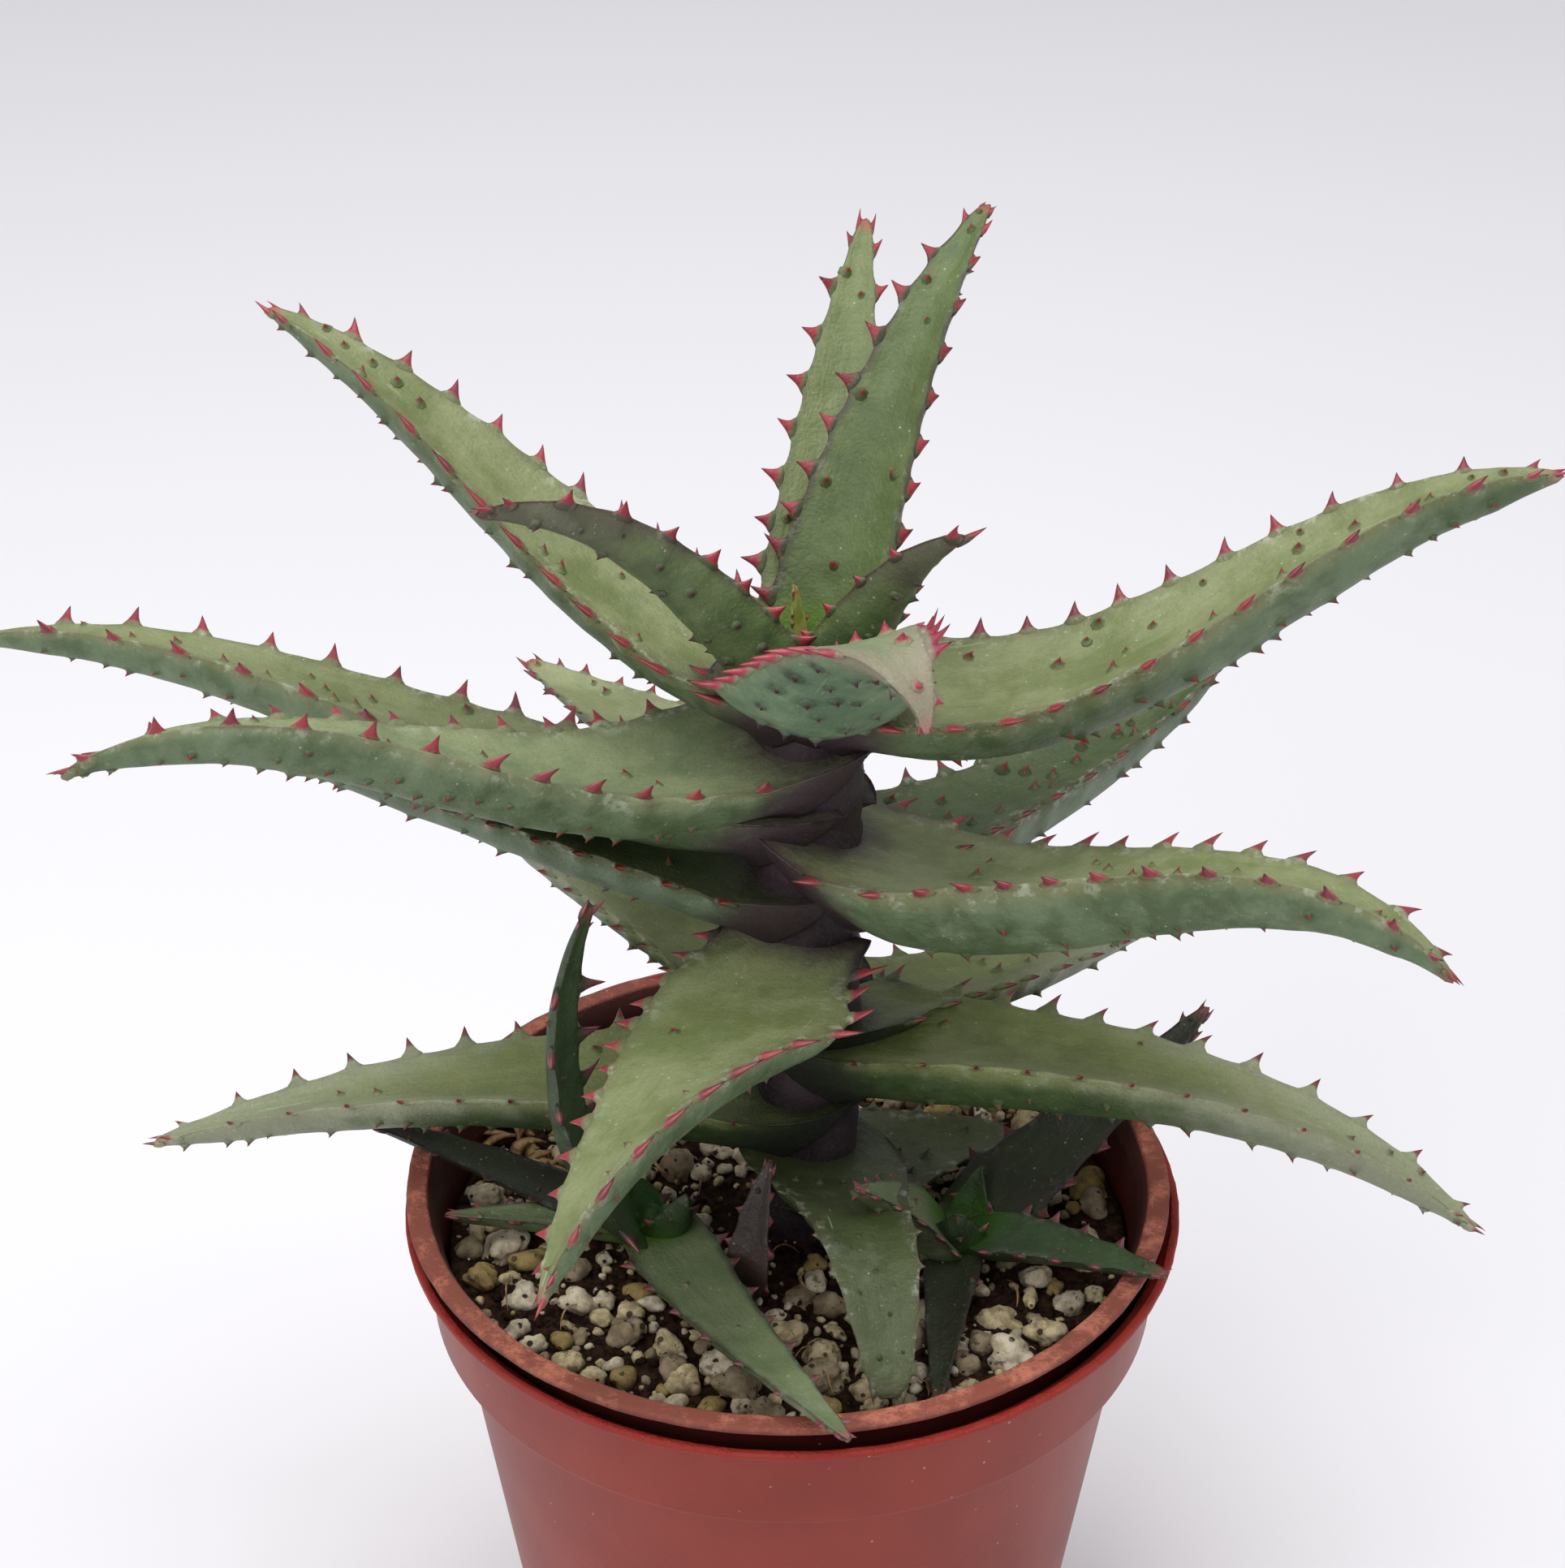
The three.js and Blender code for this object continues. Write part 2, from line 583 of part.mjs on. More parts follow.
const plants = [...cutters, ...offsets.map((each) => each.grown)];

const aloe = new THREE.Group();
aloe.add(toMesh("pot_outer", outerPot(), FINISHES.outerPot));
aloe.add(toMesh("pot_inner", innerPot(), FINISHES.innerPot));
aloe.add(toMesh("soil", soil(plants), FINISHES.soil));
aloe.add(toMesh("stem", stem, FINISHES.stem));
for (const leaf of fittedLeaves) {
  aloe.add(toMesh(leaf.name, leaf.body, leaf.young ? FINISHES.leaf : FINISHES.youngLeaf));
}
for (const each of offsets) aloe.add(toMesh(each.name, each.body, FINISHES.offset));

export default aloe;
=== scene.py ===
"""A potted aloe hybrid: fine leaves, offsets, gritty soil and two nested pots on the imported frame.

Sizes inside the classes are millimetres and turn into metres when a piece's mesh is made.
"""

import logging
import math
import random
from collections.abc import Callable
from dataclasses import dataclass, field, replace
from enum import Enum
from functools import cache

import bmesh
import bpy
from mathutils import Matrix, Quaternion, Vector, noise


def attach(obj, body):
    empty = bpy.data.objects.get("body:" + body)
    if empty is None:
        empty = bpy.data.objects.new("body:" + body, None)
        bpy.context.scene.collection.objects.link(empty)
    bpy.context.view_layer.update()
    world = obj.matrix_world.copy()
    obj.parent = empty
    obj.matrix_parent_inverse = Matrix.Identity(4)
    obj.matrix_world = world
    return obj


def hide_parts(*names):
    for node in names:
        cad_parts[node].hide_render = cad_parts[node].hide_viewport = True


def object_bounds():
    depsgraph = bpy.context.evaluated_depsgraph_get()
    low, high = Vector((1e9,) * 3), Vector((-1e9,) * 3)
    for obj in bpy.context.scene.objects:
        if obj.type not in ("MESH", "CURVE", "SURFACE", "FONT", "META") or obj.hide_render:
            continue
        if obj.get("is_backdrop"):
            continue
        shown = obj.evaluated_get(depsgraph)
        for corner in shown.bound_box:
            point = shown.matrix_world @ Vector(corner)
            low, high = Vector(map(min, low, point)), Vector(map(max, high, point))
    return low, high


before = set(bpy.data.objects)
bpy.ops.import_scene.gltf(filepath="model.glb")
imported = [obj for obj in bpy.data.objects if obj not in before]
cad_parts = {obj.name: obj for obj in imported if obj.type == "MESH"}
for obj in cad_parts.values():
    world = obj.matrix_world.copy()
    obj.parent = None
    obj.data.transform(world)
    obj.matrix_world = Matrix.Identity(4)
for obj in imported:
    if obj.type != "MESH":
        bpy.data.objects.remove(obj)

log = logging.getLogger("potted_aloe")

MM = 0.001
FULL_TURN = 2 * math.pi
Pair = tuple[float, float]
Triple = tuple[float, float, float]
Colour = tuple[float, float, float, float]
Socket = bpy.types.NodeSocket


def paint(code: str) -> Colour:
    """Turn a screen colour such as "#7f9a72" into the linear colour that a shader takes.

    Args:
        code: The colour as a hash sign and six hexadecimal digits.

    Returns:
        Red, green, blue and alpha, each from 0 to 1.
    """
    parts = [int(code[i : i + 2], 16) / 255 for i in (1, 3, 5)]
    linear = [p / 12.92 if p <= 0.04045 else ((p + 0.055) / 1.055) ** 2.4 for p in parts]
    return (linear[0], linear[1], linear[2], 1.0)


def blend(pair: Pair, t: float) -> float:
    """Return the value a share t of the way from the first of a pair to the second."""
    return pair[0] + (pair[1] - pair[0]) * t


def bend(three: Triple, t: float) -> float:
    """Return the quadratic through three values at t = 0, 0.5 and 1."""
    start, middle, end = three
    return start * (1 - t) * (1 - 2 * t) + 4 * middle * t * (1 - t) + end * t * (2 * t - 1)


# Shader recipes


class Value:
    """A number in a shader that is added, multiplied and compared like a plain number."""

    def __init__(self, recipe: "Recipe", socket: Socket) -> None:
        """Wrap one output socket of a recipe."""
        self.recipe = recipe
        self.socket = socket

    def _math(self, operation: str, left: "Number", right: "Number") -> "Value":
        """Add a Math node and wrap its result."""
        return self.recipe.value("ShaderNodeMath", {"operation": operation}, {0: left, 1: right})

    def __add__(self, other: "Number") -> "Value":
        """Return this plus other."""
        return self._math("ADD", self, other)

    def __radd__(self, other: "Number") -> "Value":
        """Return other plus this."""
        return self._math("ADD", other, self)

    def __sub__(self, other: "Number") -> "Value":
        """Return this minus other."""
        return self._math("SUBTRACT", self, other)

    def __rsub__(self, other: "Number") -> "Value":
        """Return other minus this."""
        return self._math("SUBTRACT", other, self)

    def __mul__(self, other: "Number") -> "Value":
        """Return this times other."""
        return self._math("MULTIPLY", self, other)

    def __rmul__(self, other: "Number") -> "Value":
        """Return other times this."""
        return self._math("MULTIPLY", other, self)

    def between(self, low: float, high: float) -> "Value":
        """Ease from 0 at low to 1 at high, flat outside; high may be the smaller.

        Args:
            low: The value that gives 0.
            high: The value that gives 1.

        Returns:
            The eased share.
        """
        settings = {"interpolation_type": "SMOOTHSTEP"}
        return self.recipe.value("ShaderNodeMapRange", settings, {0: self, 1: low, 2: high})

    def near(self, centre: float, width: float) -> "Value":
        """Return 1 at centre, easing to 0 at width from it on both sides."""
        offset = self.recipe.value("ShaderNodeMath", {"operation": "ABSOLUTE"}, {0: self - centre})
        return offset.between(width, 0.0)


Number = Value | float
Paint = str | Socket


class Recipe:
    """The nodes of one finish, from surface patterns to a finished material."""

    def __init__(self, name: str) -> None:
        """Start an empty material of this name."""
        self.material = bpy.data.materials.new(name)
        self.material.use_nodes = True
        self.tree = self.material.node_tree
        self.tree.nodes.clear()
        self.place = self.node("ShaderNodeTexCoord").outputs["Object"]

    def node(
        self, kind: str, settings: dict | None = None, inputs: dict | None = None
    ) -> bpy.types.Node:
        """Make any node: its type, then its settings, then the values or links of its sockets.

        Args:
            kind: The node's type name.
            settings: Properties of the node, set before its sockets.
            inputs: Socket names or numbers, each with a value, a Value or another node's socket.

        Returns:
            The node.
        """
        made = self.tree.nodes.new(kind)
        for key, setting in (settings or {}).items():
            setattr(made, key, setting)
        for key, given in (inputs or {}).items():
            socket = made.inputs[key]
            if isinstance(given, Value):
                given = given.socket
            if isinstance(given, Socket):
                self.tree.links.new(given, socket)
            else:
                socket.default_value = given
        return made

    def value(self, kind: str, settings: dict | None = None, inputs: dict | None = None) -> Value:
        """Make a node and wrap its first output as a number."""
        return Value(self, self.node(kind, settings, inputs).outputs[0])

    def mark(self, name: str) -> Value:
        """Read a value that the mesh holds at each point."""
        found = self.node("ShaderNodeAttribute", {"attribute_name": name})
        return Value(self, found.outputs["Fac"])

    def grain(self, along: float, across: float) -> Socket:
        """Return the place along and across a leaf, stretched by these scales per metre."""
        found = self.node("ShaderNodeAttribute", {"attribute_name": "grain"})
        return self.stretch(found.outputs["Vector"], (along, across, across))

    def stretch(self, vector: Socket, scale: Triple) -> Socket:
        """Multiply a place by a scale on each axis."""
        made = self.node("ShaderNodeVectorMath", {"operation": "MULTIPLY"}, {0: vector, 1: scale})
        return made.outputs[0]

    def cloud(
        self, scale: float, detail: float = 2.0, vector: Socket | None = None, roughness: float = 0.55
    ) -> Value:
        """Return soft noise round 0.5.

        Args:
            scale: Features per metre, or 1 where the vector is already stretched.
            detail: How many finer layers are added.
            vector: The place to read, or the object's own where left out.
            roughness: How strong the finer layers are.

        Returns:
            The noise, mostly from 0.3 to 0.7.
        """
        inputs = {"Vector": vector or self.place, "Scale": scale, "Detail": detail}
        return self.value("ShaderNodeTexNoise", None, inputs | {"Roughness": roughness})

    def cells(self, scale: float) -> Value:
        """Return the distance to the nearest of scattered points, in cell sizes."""
        return self.value("ShaderNodeTexVoronoi", None, {"Vector": self.place, "Scale": scale})

    def specks(self, scale: float, size: Pair, spread: tuple[float, ...]) -> Value:
        """Return small round specks that come in patches.

        Args:
            scale: Specks per metre.
            size: A speck's outer and inner edge, in cell sizes.
            spread: The patches' features per metre, detail, and the values they ease between.

        Returns:
            1 on a speck and 0 off it.
        """
        patch_scale, detail, low, high = spread
        return self.cells(scale).between(*size) * self.cloud(patch_scale, detail).between(low, high)

    def mix(self, share: Number, first: Paint, second: Paint) -> Socket:
        """Mix two colours.

        Args:
            share: 0 for the first colour and 1 for the second.
            first: A screen colour code or a colour socket.
            second: The same.

        Returns:
            The mixed colour.
        """
        under, over = (paint(c) if isinstance(c, str) else c for c in (first, second))
        inputs = {0: share, 6: under, 7: over}
        return self.node("ShaderNodeMix", {"data_type": "RGBA"}, inputs).outputs[2]

    def bump(self, height: Value, depth: float, under: Socket | None = None) -> Socket:
        """Turn a height into a bumped normal.

        Args:
            height: The height pattern, 0 to 1.
            depth: The real depth of the pattern in metres.
            under: A bumped normal that this one is added to.

        Returns:
            The normal.
        """
        inputs = {"Height": height, "Distance": depth, "Strength": 1.0}
        if under is not None:
            inputs["Normal"] = under
        return self.node("ShaderNodeBump", None, inputs).outputs[0]

    def surface(
        self, colour: Socket, roughness: Number, normal: Socket | None = None,
        constants: dict[str, float] | None = None,
    ) -> bpy.types.Material:
        """Close the recipe with its surface shader.

        Args:
            colour: The base colour.
            roughness: The roughness, plain or patterned.
            normal: The bumped normal, if any.
            constants: Other sockets of the shader with plain values.

        Returns:
            The finished material.
        """
        inputs: dict[str, object] = {"Base Color": colour, "Roughness": roughness}
        if normal is not None:
            inputs["Normal"] = normal
        inputs.update(constants or {})
        shader = self.node("ShaderNodeBsdfPrincipled", None, inputs)
        self.node("ShaderNodeOutputMaterial", None, {"Surface": shader.outputs[0]})
        return self.material


# Finishes


@dataclass(frozen=True)
class LeafSkin:
    """The waxy skin of a leaf, with its teeth and prickles.

    Colours are screen colours. tip tints both faces towards the end of the leaf. red_from is the
    share of a tooth's height where its red begins, over the green flesh.
    """

    name: str
    upper: str = "#838a60"
    patch: str = "#6a7445"
    under: str = "#647656"
    deep: str = "#4a5b3a"
    bloom: str = "#939d84"
    bloom_share: float = 0.3
    root: str = "#46383c"
    sheath: str = "#2a1e21"
    edge: str = "#5a4a3a"
    edge_share: float = 0.3
    tip: str = "#7d8559"
    tip_share: float = 0.0
    tip_from: float = 0.4
    tooth: str = "#94363c"
    tooth_other: str = "#742a38"
    tooth_tip: str = "#3d1620"
    red_from: float = 0.14
    wart: str = "#2c3a1c"
    wart_tip: str = "#752c24"
    blush: str = "#9a4440"
    scars: float = 0.35
    powder: float = 0.4
    halo: float = 0.35

    def material(self) -> bpy.types.Material:
        """Mix the skin from its face, age, stains and bloom, then colour the teeth."""
        r = Recipe(self.name)
        face, along, margin = r.mark("face"), r.mark("along"), r.mark("margin")
        broad = r.cloud(70, 3.0)
        patchy = r.cloud(230, 3.0, roughness=0.65)
        fine = r.cloud(2100, 2.0, roughness=0.6)
        upper = r.mix((broad * 0.6 + patchy * 0.4).between(0.4, 0.62), self.upper, self.patch)
        lower = r.mix((broad * 0.5 + patchy * 0.5).between(0.4, 0.6), self.under, self.deep)
        skin = r.mix(face.between(0.25, 0.75), lower, upper)
        tinted = along + 0.5 * (patchy - 0.5) + 0.25 * (margin - 0.5)
        aged = tinted.between(self.tip_from, self.tip_from + 0.4)
        skin = r.mix(aged * self.tip_share, skin, self.tip)
        streaks = r.cloud(1, 3.0, r.grain(90, 620), 0.65)
        skin = r.mix(streaks.between(0.48, 0.78) * 0.2, skin, self.deep)
        wax = r.cloud(130, 5.0, roughness=0.72).between(0.5, 0.72) * self.bloom_share
        skin = r.mix(wax * (1.15 - 0.5 * face), skin, self.bloom)
        skin = r.mix(fine.between(0.3, 0.7) * 0.16, skin, self.deep)
        skin = r.mix(r.specks(640, (0.15, 0.05), (260, 1.0, 0.48, 0.6)) * 0.45, skin, "#c3c7a6")
        skin = r.mix(r.specks(1500, (0.2, 0.08), (500, 2.0, 0.5, 0.64)) * 0.3, skin, "#b6bd9c")
        scratch = r.cloud(1, 1.0, r.grain(22, 900), 0.5).between(0.7, 0.76)
        scratch = scratch * r.cloud(160, 2.0).between(0.52, 0.6) * self.scars
        skin = r.mix(scratch, skin, "#bcc3a8")
        skin = r.mix(margin.between(0.58, 1.0) * self.edge_share, skin, self.edge)
        powder = margin.between(0.45, 0.9) * r.cloud(420, 4.0, roughness=0.7).between(0.52, 0.66)
        skin = r.mix(powder * self.powder, skin, "#b9c2ac")
        # Darken the clasping foot towards the stem: a purple stain on most leaves, but in the low
        # leaves' colours painted shade where the leaf meets the stem.
        stain = r.mark("root") + 0.4 * (patchy - 0.5)
        skin = r.mix(stain.between(0.1, 0.7), skin, self.root)
        skin = r.mix(stain.between(0.55, 1.0) * 0.75, skin, self.sheath)
        skin = r.mix(r.mark("blush").between(0.3, 1.0) * 0.85, skin, self.blush)
        skin = r.mix(r.mark("halo").between(0.05, 1.0) * self.halo, skin, self.wart)
        wart = r.mark("wart")
        skin = r.mix(wart.between(0.02, 0.2) * 0.5, skin, self.wart)
        skin = r.mix((wart + 0.2 * (patchy - 0.5)).between(0.22, 0.55), skin, self.wart_tip)
        spine, tint = r.mark("spine"), r.mark("tint")
        red = r.mix(tint, self.tooth, self.tooth_other)
        start = spine + 0.25 * (fine - 0.5)
        skin = r.mix(start.between(self.red_from - 0.1, self.red_from + 0.16), skin, red)
        skin = r.mix(spine.between(0.62, 0.95) * (0.35 + 0.65 * tint), skin, self.tooth_tip)
        pale = r.mark("edge").between(0.55, 1.0) * spine.between(0.15, 0.6)
        skin = r.mix(pale * 0.45, skin, "#c98a76")
        normal = r.bump(patchy * 0.6 + streaks * 0.4, 0.0005)
        normal = r.bump(fine, 0.00012, normal)
        rough = 0.52 + 0.14 * wax + 0.14 * (fine - 0.5) - 0.14 * spine.between(0.1, 0.5)
        shine = {"Specular IOR Level": 0.4, "Subsurface Weight": 0.05, "Subsurface Scale": 0.002}
        return r.surface(skin, rough, normal, shine)


@dataclass(frozen=True)
class StemSkin:
    """The smooth purple-grey stem between the clasping leaf bases."""

    name: str = "stem_skin"

    def material(self) -> bpy.types.Material:
        """Cloud the stem with dark purple and fleck it finely."""
        r = Recipe(self.name)
        broad = r.cloud(110, 3.0)
        fine = r.cloud(1700, 3.0, roughness=0.65)
        skin = r.mix(broad.between(0.36, 0.64), "#1f1518", "#382b30")
        skin = r.mix(fine.between(0.4, 0.7) * 0.35, skin, "#4c4044")
        skin = r.mix(r.specks(900, (0.16, 0.06), (300, 1.0, 0.5, 0.6)) * 0.4, skin, "#8d867c")
        normal = r.bump(broad * 0.5 + fine * 0.5, 0.0002)
        return r.surface(skin, 0.5 + 0.12 * fine, normal, {"Specular IOR Level": 0.35})


@dataclass(frozen=True)
class BudSkin:
    """The tender yellow-green leaves in the crown."""

    name: str = "crown_bud"

    def material(self) -> bpy.types.Material:
        """Grade from yellow-green at the foot to reddish tips."""
        r = Recipe(self.name)
        along = r.mark("along")
        skin = r.mix(r.cloud(500, 2.0).between(0.4, 0.6), "#7c8c3e", "#a0a458")
        skin = r.mix(along.between(0.8, 1.0) * 0.7, skin, "#94603c")
        skin = r.mix(r.mark("spine").between(0.1, 0.5), skin, "#8f4c38")
        return r.surface(skin, 0.45 + 0.1 * r.cloud(900), None, {"Subsurface Weight": 0.08})


@dataclass(frozen=True)
class PotPlastic:
    """Moulded plastic of a nursery pot. wear is how much of the worn colour its rim takes."""

    name: str
    body: str
    shade: str
    worn: str
    wear: float
    roughness: float

    def material(self) -> bpy.types.Material:
        """Mottle the plastic, scuff it lightly, fade it where it is worn and paint shade on the inner
        wall.
        """
        r = Recipe(self.name)
        mottle = r.cloud(40, 4.0)
        skin = r.mix(mottle.between(0.35, 0.65), self.body, self.shade)
        faded = r.cloud(180, 5.0, roughness=0.75).between(0.44, 0.66)
        worn = r.mark("wear")
        skin = r.mix(worn * (0.35 + 0.65 * faded) * self.wear, skin, self.worn)
        scuffs = r.cloud(1, 3.0, r.stretch(r.place, (330, 330, 26)), 0.6).near(0.5, 0.008)
        scuffs = scuffs * r.cloud(60, 1.0).between(0.5, 0.62)
        skin = r.mix(scuffs * 0.25, skin, self.worn)
        skin = r.mix(r.specks(420, (0.1, 0.03), (140, 1.0, 0.52, 0.6)) * 0.6, skin, "#c9b8ad")
        # Near-black painted shade on the inner pot's wall above the soil, where the pot's recess lies
        # in shade.
        skin = r.mix(r.mark("stain") * (0.75 + 0.25 * faded), skin, "#1f0f0c")
        orange_peel = r.bump(r.cloud(1100, 2.0), 0.00003)
        normal = r.bump(faded * worn, 0.00025, orange_peel)
        rough = self.roughness + 0.12 * (mottle - 0.5) + 0.25 * worn * self.wear
        return r.surface(skin, rough, normal, {"Specular IOR Level": 0.32})


@dataclass(frozen=True)
class DarkMix:
    """The dark peaty soil between the stones."""

    name: str = "dark_mix"

    def material(self) -> bpy.types.Material:
        """Speckle near-black soil with brown fibre and pale dust."""
        r = Recipe(self.name)
        crumbs = r.cloud(700, 5.0, roughness=0.7)
        skin = r.mix(crumbs.between(0.35, 0.7), "#170e09", "#483124")
        skin = r.mix(r.cloud(130, 3.0).between(0.5, 0.7) * 0.6, skin, "#302017")
        skin = r.mix(r.specks(900, (0.2, 0.08), (400, 1.0, 0.55, 0.66)) * 0.5, skin, "#7d6a4e")
        dull = {"Specular IOR Level": 0.12}
        return r.surface(skin, 0.85 + 0.1 * crumbs, r.bump(crumbs, 0.0012), dull)


@dataclass(frozen=True)
class PumiceFace:
    """Pale pumice with dark pits, pits being how dark they are."""

    name: str
    light: str
    dark: str
    pits: float

    def material(self) -> bpy.types.Material:
        """Cloud the stone and set dark pits and stuck soil in it."""
        r = Recipe(self.name)
        grain = r.cloud(520, 5.0, roughness=0.7)
        skin = r.mix(grain.between(0.38, 0.66), self.light, self.dark)
        skin = r.mix(r.mark("stain").between(0.25, 0.95) * 0.8, skin, "#4a3a2b")
        pit = r.specks(560, (0.27, 0.19), (300, 2.0, 0.46, 0.54))
        skin = r.mix(pit * self.pits, skin, "#1d1510")
        stuck = r.cloud(420, 4.0, roughness=0.7).between(0.58, 0.66) * 0.7
        skin = r.mix(stuck, skin, "#3a2c20")
        height = grain * 0.5 + (1 - pit) * 0.5
        dull = {"Specular IOR Level": 0.2}
        return r.surface(skin, 0.88 + 0.1 * grain, r.bump(height, 0.0008), dull)


@dataclass(frozen=True)
class HuskFibre:
    """Dried husk and old roots lying in the soil."""

    name: str = "husk_fibre"

    def material(self) -> bpy.types.Material:
        """Streak dry tan fibre with brown."""
        r = Recipe(self.name)
        fibres = r.cloud(420, 4.0, roughness=0.7)
        skin = r.mix(fibres.between(0.35, 0.65), "#b08a5c", "#6a4a30")
        return r.surface(skin, 0.8 + 0.1 * fibres, r.bump(fibres, 0.0004))


MATURE = LeafSkin("leaf_mature")
SUNLIT = replace(MATURE, name="leaf_sunlit", upper="#9aa076", patch="#848c60")
SOFT_LIT = replace(MATURE, name="leaf_soft_lit", upper="#8b946c", patch="#6f7d57")
SHADED = replace(
    MATURE, name="leaf_shaded", upper="#4e5b34", patch="#3e4d26", under="#6a7a62", deep="#55654c",
    bloom_share=0.16, tooth="#8c2f2e", tooth_other="#5e2a26", red_from=0.3,
)
# The low leaves' root and sheath colours are near-black grey-green: painted shade at their foot by
# the stem, in place of a purple stain.
LOW = replace(
    MATURE, name="leaf_low", upper="#7b8350", patch="#636e3a", under="#455830", deep="#304221",
    bloom_share=0.16, powder=0.15, tooth="#7c3230", tooth_other="#5c2a28", wart="#33421f",
    wart_tip="#6b3a28", edge_share=0.12, red_from=0.42, root="#2e3427", sheath="#211f1a",
    tip="#a2a68c", tip_share=0.6, tip_from=0.3,
)
FRESH = replace(
    MATURE, name="leaf_fresh", upper="#5c6b3e", patch="#4b5a2f", under="#566642", deep="#435331",
    bloom_share=0.18, edge="#3f3430", edge_share=0.8, root="#5a7a2a", sheath="#4c6a24", scars=0.15,
    tooth="#93313c", tooth_other="#74242f", powder=0.15, wart_tip="#7a3028",
)
BRIGHT = replace(FRESH, name="leaf_bright", upper="#7a8458", patch="#687548", edge_share=0.4)
ROLLED = replace(
    MATURE, name="leaf_rolled", upper="#66793f", patch="#4c6030", under="#5f6e45", deep="#465633",
    bloom_share=0.15, edge="#3f2f2f", edge_share=0.6, root="#466a24", sheath="#3a5a1e",
    tip="#51463f", tip_share=0.75, tip_from=0.3, scars=0.1, tooth="#a02c3c",
    tooth_other="#7c2230", blush="#6c2a34", powder=0.15, wart="#231d1c", wart_tip="#4a2228",
)
PALE_TIP = replace(
    MATURE, name="leaf_blunt_pale", upper="#7f8c68", patch="#6f7c58", under="#738869",
    deep="#5b7257", bloom="#93a08a", bloom_share=0.3, tip="#8f8370", tip_share=0.85, tip_from=0.4,
    halo=0.95, tooth="#9c3448", tooth_other="#84283c", blush="#b0746c", wart="#1f2c1e",
    wart_tip="#47222a",
)
OLD = replace(
    MATURE, name="leaf_old", upper="#515b39", patch="#424c29", under="#3f4a2c", deep="#2f3920",
    bloom="#8b9282", bloom_share=0.45, tooth="#6a5240", tooth_other="#4f3a2e", wart="#2c3718",
    wart_tip="#453620", blush="#5f5a44", scars=0.8, red_from=0.5, root="#3b4229", sheath="#2b2e20",
)
OFFSET = replace(
    MATURE, name="offset_pale", upper="#707c58", patch="#616d4c", under="#65714e",
    deep="#535e3d", bloom="#868f7e", bloom_share=0.6, root="#4a6c22", sheath="#3c5c1e",
    edge="#2c2224", edge_share=0.7, tooth="#7c4046", tooth_other="#5c2c34", tooth_tip="#4c1c24",
    blush="#7c4440", powder=0.1, scars=0.5,
)
OFFSET_GREEN = replace(
    OFFSET, name="offset_green", upper="#3c5030", patch="#304325", under="#334426", deep="#26341b",
    bloom="#5c6e56", root="#355a1c", sheath="#2c4c1a", edge_share=0.5, scars=0.1,
)
OFFSET_DUSK = replace(
    OFFSET, name="offset_dusk", upper="#2e3521", patch="#26291b", under="#322c24", deep="#27221b",
    bloom="#474b3f", bloom_share=0.12, root="#2a3a1c", tooth="#5c2c2c", tooth_other="#3c2220",
)
SHOOT = replace(
    OFFSET, name="shoot_purple", upper="#4c403c", patch="#3c3230", under="#4c3f3b",
    deep="#3a2d2d", bloom="#6c615c", bloom_share=0.35, root="#42342c", sheath="#2c2420",
    blush="#5e403a", edge_share=0.3,
)

OUTER_PLASTIC = PotPlastic("outer_plastic", "#862b1c", "#7a2618", "#98201a", 0.9, 0.42)
INNER_PLASTIC = PotPlastic("inner_plastic", "#5a1d18", "#471512", "#b36c57", 1.0, 0.5)
CREAM = PumiceFace("pumice_cream", "#cdbd96", "#9c8b69", 0.85)
WHITE = PumiceFace("pumice_white", "#d6c9b0", "#a6997d", 0.95)
OCHRE = PumiceFace("pumice_ochre", "#a48c5a", "#837147", 0.7)
GREY = PumiceFace("pumice_grey", "#9c8d73", "#7c6d55", 0.85)


@cache
def skin_material(skin: LeafSkin) -> bpy.types.Material:
    """Return a skin's material, made once."""
    return skin.material()


# Mesh building


def add_object(name: str, data: bpy.types.ID) -> bpy.types.Object:
    """Put an object that shows this data in the scene."""
    made = bpy.data.objects.new(name, data)
    bpy.context.collection.objects.link(made)
    return made


